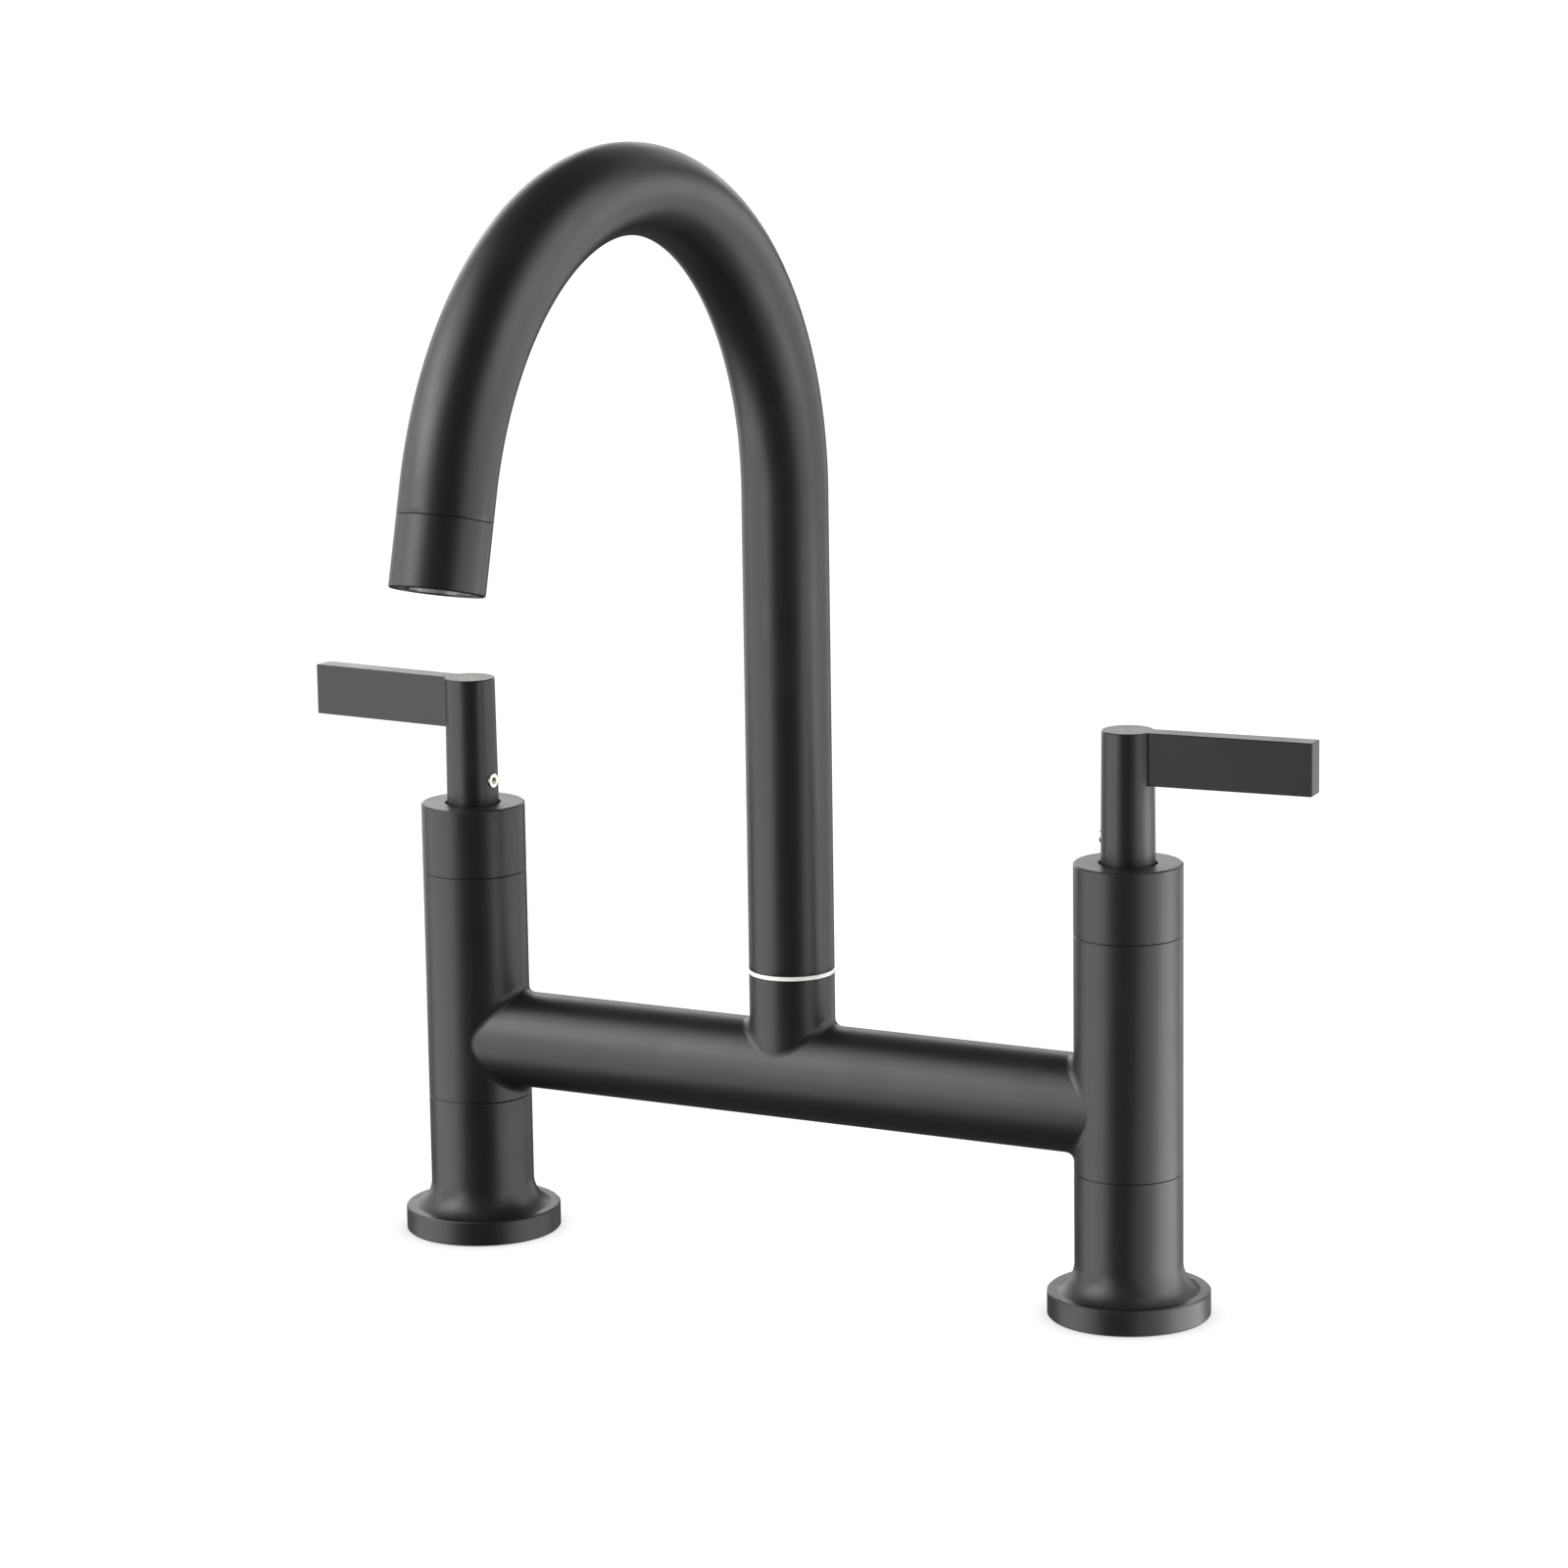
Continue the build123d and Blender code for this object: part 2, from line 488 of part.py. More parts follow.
def cartridge_body():
    """Brass headwork: slotted barrel with two outlet windows, clamping flange, and the spindle's neck."""
    flange_bottom = BARREL_TOP_Z - BARREL_FLANGE_H
    body = turned([(CHAMBER_R, BARREL_BOTTOM_Z), (BARREL_R, BARREL_BOTTOM_Z), (BARREL_R, flange_bottom),
                   (BARREL_FLANGE_R, flange_bottom), (BARREL_FLANGE_R, BARREL_TOP_Z), (NECK_R, BARREL_TOP_Z),
                   (NECK_R, NECK_TOP_Z), (SPINDLE_BORE_R, NECK_TOP_Z), (SPINDLE_BORE_R, CHAMBER_TOP_Z),
                   (CHAMBER_R, CHAMBER_TOP_Z)])
    ear_slot_top = FIXED_DISC_TOP_Z + SEAL_GAP
    ear_slot = Pos(0, 0, ear_slot_top - COLUMN_R) * Box(2 * COLUMN_R, DISC_EAR_W + 2 * SEAL_GAP, 2 * COLUMN_R)
    window = Pos(0, 0, MOVING_DISC_BOTTOM_Z + STEP_FIT + WINDOW_H / 2) * Box(WINDOW_W, 2 * COLUMN_R, WINDOW_H)
    return body - ear_slot - window


def thrust_washer():
    return ring(DISC_R, SPINDLE_BORE_R + SEAL_GAP, WASHER_BOTTOM_Z, WASHER_TOP_Z)


def retaining_nut():
    """Clamps the cartridge in the column; its upper half carries the sleeve."""
    nut = turned([(NUT_BORE_R, NUT_BOTTOM_Z), (NUT_R, NUT_BOTTOM_Z), (NUT_R, NUT_TOP_Z),
                  (NECK_R + THREAD_FIT, NUT_TOP_Z), (NECK_R + THREAD_FIT, NUT_SHOULDER_Z),
                  (NUT_BORE_R, NUT_SHOULDER_Z)])
    across_flats = 2 * NUT_HEX_CORNER_R * cos(radians(30))
    return nut - hexagon(across_flats, NUT_SHOULDER_Z + NUT_SHOULDER, NUT_TOP_Z + OVERCUT)


def sleeve():
    """Black cap above the upper seam, with the hole that the lever's stem turns in."""
    under_top = SLEEVE_TOP_Z - SLEEVE_TOP_THICKNESS
    return turned([(COLUMN_BORE_R, UPPER_SEAM_Z), (COLUMN_R - SEAM_BEVEL, UPPER_SEAM_Z),
                   (COLUMN_R, UPPER_SEAM_Z + SEAM_BEVEL), (COLUMN_R, SLEEVE_TOP_Z - SLEEVE_EDGE),
                   (COLUMN_R - SLEEVE_EDGE, SLEEVE_TOP_Z), (STEM_HOLE_R + SEAM_BEVEL, SLEEVE_TOP_Z),
                   (STEM_HOLE_R, SLEEVE_TOP_Z - SEAM_BEVEL), (STEM_HOLE_R, under_top),
                   (COLUMN_BORE_R, under_top)])


# ---------------------------------------------------------------- turning pieces of one column
def moving_disc():
    """Upper ceramic disc, a quarter turn off the lower one when the valve is shut."""
    bar = Pos(0, 0, MOVING_DISC_TOP_Z) * Box(2 * COLUMN_R, DRIVE_BAR_W, 2 * DRIVE_BAR_H)
    blank = disc(DISC_R - RUNNING_FIT, MOVING_DISC_BOTTOM_Z, MOVING_DISC_TOP_Z)
    return Rot(0, 0, 90) * (blank - disc_ports(MOVING_DISC_BOTTOM_Z, MOVING_DISC_TOP_Z) - bar)


def spindle():
    """Brass spindle: foot with its driving bar, shaft, splined end and pilot."""
    bar_bottom = MOVING_DISC_TOP_Z - DRIVE_BAR_H + SEAL_GAP
    bar = Pos(0, 0, (bar_bottom + FOOT_TOP_Z) / 2) * Box(DRIVE_BAR_W - 2 * SEAL_GAP, 2 * SPINDLE_FOOT_R,
                                                         FOOT_TOP_Z - bar_bottom)
    body = disc(SPINDLE_FOOT_R, FOOT_BOTTOM_Z, FOOT_TOP_Z) + bar
    body &= disc(SPINDLE_FOOT_R, bar_bottom - OVERCUT, FOOT_TOP_Z)
    body += disc(SPINDLE_R, FOOT_BOTTOM_Z, SPLINE_BOTTOM_Z)
    body += splined(SPINDLE_R, SPLINE_BOTTOM_Z, ADAPTER_TOP_Z)
    body += disc(PILOT_R, SPLINE_BOTTOM_Z, PILOT_TOP_Z)
    for height in SPINDLE_ORING_Z:
        body -= groove(SPINDLE_BORE_R, SPINDLE_ORING_SECTION, height)
    return body - ring(SPINDLE_R + OVERCUT, SPINDLE_R - CIRCLIP_GROOVE_DEPTH,
                       CIRCLIP_BOTTOM_Z - SEAL_GAP, CIRCLIP_TOP_Z + SEAL_GAP)


def spindle_orings():
    return Compound([oring(SPINDLE_BORE_R, SPINDLE_ORING_SECTION, height) for height in SPINDLE_ORING_Z])


def circlip():
    """Open ring in the spindle's groove, above the neck."""
    opening = Pos(CIRCLIP_R, 0, CIRCLIP_BOTTOM_Z) * Box(2 * CIRCLIP_R, CIRCLIP_OPENING, 4 * CIRCLIP_THICKNESS)
    return ring(CIRCLIP_R, CIRCLIP_INNER_R, CIRCLIP_BOTTOM_Z, CIRCLIP_TOP_Z) - opening


def spline_adapter():
    """Brass insert that joins the splined spindle to the lever's stem."""
    insert = disc(ADAPTER_R, STEM_BOTTOM_Z, ADAPTER_TOP_Z)
    return insert - splined(SPINDLE_R + THREAD_FIT, STEM_BOTTOM_Z - OVERCUT, ADAPTER_TOP_Z + OVERCUT)


def screw_bar(radius, start, end):
    """A round bar square to the stem, on the side away from the blade."""
    return Pos(0, 0, SET_SCREW_Z) * Rot(0, -90, 0) * disc(radius, start, end)


def lever():
    """Stem and flat blade in one piece; the blade points to +X."""
    stem = Pos(0, 0, STEM_BOTTOM_Z) * Cone(STEM_BOTTOM_R, STEM_TOP_R, LEVER_TOP_Z - STEM_BOTTOM_Z,
                                           align=(Align.CENTER, Align.CENTER, Align.MIN))
    blade = Pos(BLADE_REACH / 2, 0, LEVER_TOP_Z - BLADE_HEIGHT / 2) * Box(BLADE_REACH, BLADE_THICKNESS,
                                                                          BLADE_HEIGHT)
    body = stem + blade

    def is_root(edge):
        middle = edge.center()
        tall = edge.bounding_box().size.Z > BLADE_HEIGHT / 2
        return tall and 0 < middle.X < STEM_BOTTOM_R and abs(middle.Y) > BLADE_THICKNESS / 4

    def is_rim(edge):
        middle = edge.center()
        return middle.Z > LEVER_TOP_Z - SAME or middle.X > BLADE_REACH - SAME

    body = fillet([e for e in body.edges() if is_root(e)], BLADE_ROOT_FILLET)
    body = chamfer([e for e in body.edges() if is_rim(e)], BLADE_EDGE)
    body -= disc(ADAPTER_R + SEAL_GAP, STEM_BOTTOM_Z - OVERCUT, ADAPTER_TOP_Z + STEP_FIT)
    body -= disc(PILOT_R + THREAD_FIT, STEM_BOTTOM_Z, PILOT_TOP_Z + STEP_FIT)
    return body - screw_bar(SET_SCREW_R + SEAL_GAP, 0, 2 * STEM_BOTTOM_R)


def set_screw():
    """Headless screw with a hexagon socket, bearing on the spindle's pilot."""
    rise = (SET_SCREW_Z - STEM_BOTTOM_Z) / (LEVER_TOP_Z - STEM_BOTTOM_Z)
    face = STEM_BOTTOM_R + (STEM_TOP_R - STEM_BOTTOM_R) * rise - SET_SCREW_RECESS
    screw = screw_bar(SET_SCREW_R, PILOT_R + SEAL_GAP, face)
    socket = hexagon(SET_SCREW_SOCKET_AF, face - SET_SCREW_SOCKET_DEPTH, face + OVERCUT)
    return screw - Pos(0, 0, SET_SCREW_Z) * Rot(0, -90, 0) * socket


# ---------------------------------------------------------------- spout
ARC_END = Vector(0, -ARC_RADIUS * (1 - cos(radians(ARC_ANGLE))),
                 ARC_CENTRE_Z + ARC_RADIUS * sin(radians(ARC_ANGLE)))
OUTLET_DIRECTION = Vector(0, -sin(radians(ARC_ANGLE)), cos(radians(ARC_ANGLE)))
MOUTH = ARC_END + OUTLET_DIRECTION * OUTLET_STRAIGHT
MOUTH_PLANE = Plane(origin=MOUTH, x_dir=(1, 0, 0), z_dir=-OUTLET_DIRECTION)


def at_mouth(solid):
    """Places a piece that was drawn on the Z axis, upwards from the mouth."""
    return MOUTH_PLANE.location * solid


def gooseneck(radius):
    """A round bar along the tube's line: riser, arc, and the straight stretch down to the seam."""
    half = radians(ARC_ANGLE / 2)
    crest = (0, -ARC_RADIUS * (1 - cos(half)), ARC_CENTRE_Z + ARC_RADIUS * sin(half))
    shoulder = (0, 0, ARC_CENTRE_Z)
    seam = ARC_END + OUTLET_DIRECTION * (OUTLET_STRAIGHT - TIP_LENGTH)
    line = Wire([Edge.make_line((0, 0, TUBE_BOTTOM_Z), shoulder),
                 Edge.make_three_point_arc(shoulder, crest, ARC_END),
                 Edge.make_line(ARC_END, seam)])
    return sweep(Pos(0, 0, TUBE_BOTTOM_Z) * Circle(radius), path=line)


def spout_tube():
    return gooseneck(TUBE_R) - gooseneck(TUBE_BORE_R)


def spout_spigot():
    """Turned end that is brazed in the tube and turns in the socket."""
    spigot = turned([(SPIGOT_BORE_R, JOURNAL_BOTTOM_Z), (JOURNAL_R, JOURNAL_BOTTOM_Z),
                     (JOURNAL_R, TUBE_BOTTOM_Z), (SPIGOT_IN_TUBE_R, TUBE_BOTTOM_Z),
                     (SPIGOT_IN_TUBE_R, SPIGOT_TOP_Z), (SPIGOT_BORE_R, SPIGOT_TOP_Z)])
    for height in SPOUT_ORING_Z:
        spigot -= groove(SOCKET_BORE_R, SPOUT_ORING_SECTION, height)
    return spigot - ring(JOURNAL_R + OVERCUT, JOURNAL_R - GRUB_GROOVE_DEPTH, GRUB_Z - GRUB_GROOVE_HALF,
                         GRUB_Z + GRUB_GROOVE_HALF)


def spout_orings():
    return Compound([oring(SOCKET_BORE_R, SPOUT_ORING_SECTION, height) for height in SPOUT_ORING_Z])


def spout_tip():
    """Outlet shell below the seam, screwed into the tube; the aerator stands in its recess."""
    tip = turned([(AERATOR_SEAT_R, 0), (TUBE_R - MOUTH_BEVEL, 0), (TUBE_R, MOUTH_BEVEL),
                  (TUBE_R, TIP_LENGTH - SEAM_BEVEL), (TUBE_R - SEAM_BEVEL, TIP_LENGTH),
                  (TIP_SPIGOT_R, TIP_LENGTH), (TIP_SPIGOT_R, TIP_LENGTH + TIP_SPIGOT_LENGTH),
                  (TIP_BORE_R, TIP_LENGTH + TIP_SPIGOT_LENGTH), (TIP_BORE_R, TIP_RECESS),
                  (AERATOR_SEAT_R, TIP_RECESS)])
    return at_mouth(tip - groove(TUBE_BORE_R, TIP_ORING_SECTION, TIP_ORING_HEIGHT))


def spout_tip_oring():
    return at_mouth(oring(TUBE_BORE_R, TIP_ORING_SECTION, TIP_ORING_HEIGHT))


def aerator_housing():
    """Bright ring with key notches, just inside the mouth."""
    housing = ring(AERATOR_R, AERATOR_BORE_R, AERATOR_RECESS, AERATOR_TOP)
    for number in range(AERATOR_NOTCHES):
        notch = Pos(AERATOR_R, 0, AERATOR_RECESS) * Box(2 * (AERATOR_WALL + OVERCUT), AERATOR_NOTCH_W,
                                                        2 * AERATOR_NOTCH_DEPTH)
        housing -= Rot(0, 0, 360 * number / AERATOR_NOTCHES) * notch
    return at_mouth(housing)


def perforated(radius, bottom, top, hole_r, pitch, rings):
    """A plate with a hexagonal pattern of holes."""
    plate = disc(radius, bottom, top)
    holes = [Pos(x, y, 0) * disc(hole_r, bottom - OVERCUT, top + OVERCUT) for x, y in honeycomb(pitch, rings)]
    return plate - holes


def aerator_screen():
    screen = perforated(SCREEN_R, SCREEN_BOTTOM, SCREEN_TOP, SCREEN_HOLE_R, SCREEN_PITCH, SCREEN_RINGS)
    return at_mouth(screen)


def aerator_core():
    core = perforated(SCREEN_R, SCREEN_TOP + SEAL_GAP, AERATOR_TOP, CORE_HOLE_R, CORE_PITCH, CORE_RINGS)
    return at_mouth(core)


def aerator_gasket():
    bore_r = AERATOR_R - AERATOR_GASKET_WIDTH
    return at_mouth(ring(AERATOR_R, bore_r, AERATOR_GASKET_BOTTOM, AERATOR_GASKET_TOP))


# ---------------------------------------------------------------- export
def main():
    pieces = {
        "bridge_body": bridge_body(),
        "spout_glide_ring": spout_glide_ring(),
        "spout_grub_screw": spout_grub_screw(),
        "spout_tube": spout_tube(),
        "spout_spigot": spout_spigot(),
        "spout_orings": spout_orings(),
        "spout_tip": spout_tip(),
        "spout_tip_oring": spout_tip_oring(),
        "aerator_housing": aerator_housing(),
        "aerator_screen": aerator_screen(),
        "aerator_core": aerator_core(),
        "aerator_gasket": aerator_gasket(),
    }
    fixed = {
        "base_collar": base_collar(),
        "base_gasket": base_gasket(),
        "inlet_nipple": inlet_nipple(),
        "nipple_oring": nipple_oring(),
        "collar_oring": collar_oring(),
        "supply_tube": supply_tube(),
        "seat_seal": seat_seal(),
        "fixed_disc": fixed_disc(),
        "cartridge_body": cartridge_body(),
        "thrust_washer": thrust_washer(),
        "retaining_nut": retaining_nut(),
        "sleeve": sleeve(),
    }
    turning = {
        "moving_disc": moving_disc(),
        "spindle": spindle(),
        "spindle_orings": spindle_orings(),
        "circlip": circlip(),
        "spline_adapter": spline_adapter(),
        "lever": lever(),
        "set_screw": set_screw(),
    }
    for side, x, blade_angle in (("left", -INLET_SPACING / 2, 180 - LEVER_REST_ANGLE),
                                 ("right", INLET_SPACING / 2, LEVER_REST_ANGLE)):
        for name, solid in fixed.items():
            pieces[f"{side}_{name}"] = Pos(x, 0, 0) * solid
        for name, solid in turning.items():
            pieces[f"{side}_{name}"] = Pos(x, 0, 0) * Rot(0, 0, blade_angle) * solid

    os.makedirs("parts", exist_ok=True)
    for name, solid in pieces.items():
        export_step(solid, f"parts/{name}.step")


main()
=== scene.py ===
import json
import math

import bmesh
import bpy
from mathutils import Matrix, Vector


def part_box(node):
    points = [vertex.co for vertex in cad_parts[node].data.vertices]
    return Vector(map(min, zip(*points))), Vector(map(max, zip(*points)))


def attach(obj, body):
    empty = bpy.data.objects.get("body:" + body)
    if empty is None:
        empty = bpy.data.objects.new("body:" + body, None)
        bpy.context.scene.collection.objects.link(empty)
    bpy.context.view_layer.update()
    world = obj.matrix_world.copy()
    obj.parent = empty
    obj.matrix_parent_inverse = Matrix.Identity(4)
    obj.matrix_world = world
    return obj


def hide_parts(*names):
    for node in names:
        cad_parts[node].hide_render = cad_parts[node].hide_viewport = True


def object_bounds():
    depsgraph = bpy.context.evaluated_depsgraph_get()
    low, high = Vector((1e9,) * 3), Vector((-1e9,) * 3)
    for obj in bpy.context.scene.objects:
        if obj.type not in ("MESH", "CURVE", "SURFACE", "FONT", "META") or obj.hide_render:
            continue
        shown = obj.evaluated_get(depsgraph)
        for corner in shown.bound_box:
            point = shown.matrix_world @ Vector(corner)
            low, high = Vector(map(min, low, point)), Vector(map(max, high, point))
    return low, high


bl_info = {
    "name": "Bridge kitchen faucet",
    "version": (1, 0, 0),
    "blender": (4, 5, 0),
    "location": "3D View > Sidebar > Faucet",
    "description": "Dresses the packed bridge faucet: finishes, fine detail, floor and light",
    "category": "Object",
}

MM = 0.001
SIDES = ("left", "right")

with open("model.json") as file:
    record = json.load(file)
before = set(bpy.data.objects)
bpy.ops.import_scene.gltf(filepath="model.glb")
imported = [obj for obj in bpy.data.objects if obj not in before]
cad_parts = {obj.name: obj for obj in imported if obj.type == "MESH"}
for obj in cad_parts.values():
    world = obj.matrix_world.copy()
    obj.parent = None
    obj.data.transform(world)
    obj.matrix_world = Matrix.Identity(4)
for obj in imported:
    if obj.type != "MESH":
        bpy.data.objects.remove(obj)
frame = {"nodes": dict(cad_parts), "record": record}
CAD_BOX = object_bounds()
CENTRE = (CAD_BOX[0] + CAD_BOX[1]) / 2


# ---------------------------------------------------------------- settings
class FaucetFinish(bpy.types.PropertyGroup):
    """Colours and surface of every finish."""
    coating_colour: bpy.props.FloatVectorProperty(
        name="Coating", description="Colour of the black coating", subtype="COLOR",
        size=3, min=0, max=1, default=(0.006, 0.0059, 0.0057))
    speck_spacing: bpy.props.FloatProperty(
        name="Speck spacing", description="Distance between the dust specks in the coating",
        subtype="DISTANCE", unit="LENGTH", min=0.001, default=9 * MM)
    speck_size: bpy.props.FloatProperty(
        name="Speck size", description="Radius of a dust speck in the coating",
        subtype="DISTANCE", unit="LENGTH", min=0.00005, default=0.35 * MM)
    coating_roughness: bpy.props.FloatProperty(
        name="Coating roughness", description="Mean roughness of the black coating",
        subtype="FACTOR", min=0, max=1, default=0.38)
    peel_size: bpy.props.FloatProperty(
        name="Peel size", description="Distance between the soft waves of the sprayed coating",
        subtype="DISTANCE", unit="LENGTH", min=0.0002, default=2.2 * MM)
    grain_size: bpy.props.FloatProperty(
        name="Grain size", description="Distance between the fine grains of the coating",
        subtype="DISTANCE", unit="LENGTH", min=0.00002, default=0.22 * MM)
    ring_colour: bpy.props.FloatVectorProperty(
        name="Glide ring", description="Colour of the plastic ring below the spout",
        subtype="COLOR", size=3, min=0, max=1, default=(0.9, 0.9, 0.88))
    insert_colour: bpy.props.FloatVectorProperty(
        name="Aerator insert", description="Colour of the plastic inside the aerator",
        subtype="COLOR", size=3, min=0, max=1, default=(0.42, 0.43, 0.44))
    steel_colour: bpy.props.FloatVectorProperty(
        name="Steel", description="Colour of screws and clips", subtype="COLOR",
        size=3, min=0, max=1, default=(0.72, 0.70, 0.66))
    chrome_colour: bpy.props.FloatVectorProperty(
        name="Chrome", description="Colour of the plated aerator housing", subtype="COLOR",
        size=3, min=0, max=1, default=(0.82, 0.81, 0.79))
    brass_colour: bpy.props.FloatVectorProperty(
        name="Brass", description="Colour of bare brass pieces", subtype="COLOR",
        size=3, min=0, max=1, default=(0.72, 0.50, 0.22))
    rubber_colour: bpy.props.FloatVectorProperty(
        name="Rubber", description="Colour of seals and gaskets", subtype="COLOR",
        size=3, min=0, max=1, default=(0.018, 0.018, 0.018))
    mark_colour: bpy.props.FloatVectorProperty(
        name="Marks", description="Colour of the letters on the levers", subtype="COLOR",
        size=3, min=0, max=1, default=(0.30, 0.28, 0.26))
    ceramic_colour: bpy.props.FloatVectorProperty(
        name="Ceramic", description="Colour of the valve discs", subtype="COLOR",
        size=3, min=0, max=1, default=(0.82, 0.80, 0.76))


class FaucetSpout(bpy.types.PropertyGroup):
    """Sizes of the bent spout tube."""
    riser_length: bpy.props.FloatProperty(
        name="Riser", description="Length of the upright part of the tube", subtype="DISTANCE",
        unit="LENGTH", min=0.01, default=132.8 * MM)
    arc_radius: bpy.props.FloatProperty(
        name="Arc radius", description="Bend radius of the tube's middle line", subtype="DISTANCE",
        unit="LENGTH", min=0.02, default=88.4 * MM)
    arc_angle: bpy.props.FloatProperty(
        name="Arc angle", description="How far the tube bends over", subtype="ANGLE",
        min=0, default=math.radians(165.2))
    outlet_length: bpy.props.FloatProperty(
        name="Outlet", description="Straight length between the arc and the tip's seam",
        subtype="DISTANCE", unit="LENGTH", min=0.001, default=6.8 * MM)
    wall: bpy.props.FloatProperty(
        name="Wall", description="Thickness of the tube's wall", subtype="DISTANCE", unit="LENGTH",
        min=0.0005, default=1.3 * MM)
    edge: bpy.props.FloatProperty(
        name="Edge", description="Bevel on the tube's cut ends", subtype="DISTANCE", unit="LENGTH",
        min=0, default=0.2 * MM)


class FaucetAerator(bpy.types.PropertyGroup):
    """Sizes of the honeycomb inside the mouth."""
    setback: bpy.props.FloatProperty(
        name="Setback", description="From the mouth in to the honeycomb's face", subtype="DISTANCE",
        unit="LENGTH", min=0, default=1.5 * MM)
    radius: bpy.props.FloatProperty(
        name="Radius", description="Outer radius of the honeycomb plate", subtype="DISTANCE",
        unit="LENGTH", min=0.001, default=8.6 * MM)
    thickness: bpy.props.FloatProperty(
        name="Thickness", description="Thickness of the honeycomb plate", subtype="DISTANCE",
        unit="LENGTH", min=0.0001, default=0.8 * MM)
    cell_pitch: bpy.props.FloatProperty(
        name="Cell pitch", description="Distance between the cells", subtype="DISTANCE",
        unit="LENGTH", min=0.0005, default=1.5 * MM)
    cell_wall: bpy.props.FloatProperty(
        name="Cell wall", description="Plastic left between two cells", subtype="DISTANCE",
        unit="LENGTH", min=0.0001, default=0.3 * MM)
    rim: bpy.props.FloatProperty(
        name="Rim", description="Solid rim around the cells", subtype="DISTANCE", unit="LENGTH",
        min=0.0002, default=0.6 * MM)


class FaucetScrews(bpy.types.PropertyGroup):
    """Sizes of the headless screws that hold the levers and the spout."""
    clearance: bpy.props.FloatProperty(
        name="Clearance", description="How much slimmer a screw's radius is than the packed one's",
        subtype="DISTANCE", unit="LENGTH", min=0, default=0.03 * MM)
    proud: bpy.props.FloatProperty(
        name="Proud", description="How far a lever's set screw stands out of its stem",
        subtype="DISTANCE", unit="LENGTH", default=0.3 * MM)
    across_flats: bpy.props.FloatProperty(
        name="Across flats", description="Width of the hexagon socket", subtype="DISTANCE",
        unit="LENGTH", min=0.0005, default=2.0 * MM)
    socket_depth: bpy.props.FloatProperty(
        name="Socket depth", description="Depth of the hexagon socket", subtype="DISTANCE",
        unit="LENGTH", min=0.0001, default=1.5 * MM)
    chamfer: bpy.props.FloatProperty(
        name="Chamfer", description="Chamfer on the screw's rim", subtype="DISTANCE",
        unit="LENGTH", min=0, default=0.12 * MM)
    lever_angle: bpy.props.FloatProperty(
        name="Lever angle",
        description="How far each lever rests behind the line through the columns",
        subtype="ANGLE", default=math.radians(4.5))


class FaucetMarks(bpy.types.PropertyGroup):
    """Letters for hot and cold on top of the levers."""
    height: bpy.props.FloatProperty(
        name="Height", description="Height of a letter", subtype="DISTANCE", unit="LENGTH",
        min=0.001, default=5.4 * MM)
    thinning: bpy.props.FloatProperty(
        name="Thinning", description="How much each side of a stroke is drawn in",
        subtype="DISTANCE", unit="LENGTH", min=0, default=0.07 * MM)
    relief: bpy.props.FloatProperty(
        name="Relief", description="How far a letter stands out of the lever", subtype="DISTANCE",
        unit="LENGTH", min=0, default=0.02 * MM)


class FaucetInlets(bpy.types.PropertyGroup):
    """Sizes of the threaded nipples below the columns and of their gaskets."""
    major_radius: bpy.props.FloatProperty(
        name="Major radius", description="Radius at the bottom of the thread's grooves",
        subtype="DISTANCE", unit="LENGTH", min=0.001, default=10.48 * MM)
    minor_radius: bpy.props.FloatProperty(
        name="Minor radius", description="Radius over the thread's crests", subtype="DISTANCE",
        unit="LENGTH", min=0.001, default=9.32 * MM)
    pitch: bpy.props.FloatProperty(
        name="Pitch", description="Distance between the thread's turns", subtype="DISTANCE",
        unit="LENGTH", min=0.0002, default=1.814 * MM)
    thread_end: bpy.props.FloatProperty(
        name="Thread end", description="Height of the bottom of the threaded bore",
        subtype="DISTANCE", unit="LENGTH", min=0.001, default=13.0 * MM)
    web_end: bpy.props.FloatProperty(
        name="Web end", description="Height of the seat of the supply tube", subtype="DISTANCE",
        unit="LENGTH", min=0.001, default=15.0 * MM)
    water_radius: bpy.props.FloatProperty(
        name="Water way", description="Radius of the hole to the supply tube", subtype="DISTANCE",
        unit="LENGTH", min=0.0005, default=4.0 * MM)
    socket_radius: bpy.props.FloatProperty(
        name="Tube socket", description="Radius of the socket of the supply tube",
        subtype="DISTANCE", unit="LENGTH", min=0.0005, default=5.05 * MM)
    slot_width: bpy.props.FloatProperty(
        name="Slot width", description="Width of the spanner slots", subtype="DISTANCE",
        unit="LENGTH", min=0.0005, default=3.0 * MM)
    slot_depth: bpy.props.FloatProperty(
        name="Slot depth", description="Depth of the spanner slots", subtype="DISTANCE",
        unit="LENGTH", min=0.0002, default=2.0 * MM)
    gasket_bore: bpy.props.FloatProperty(
        name="Gasket bore", description="Inner radius of the gaskets", subtype="DISTANCE",
        unit="LENGTH", min=0.001, default=16.25 * MM)
    ribs: bpy.props.IntProperty(
        name="Ribs", description="Number of sealing ribs below a gasket", min=1, default=3)
    rib_depth: bpy.props.FloatProperty(
        name="Rib depth", description="Depth of the grooves between the ribs", subtype="DISTANCE",
        unit="LENGTH", min=0, default=0.45 * MM)


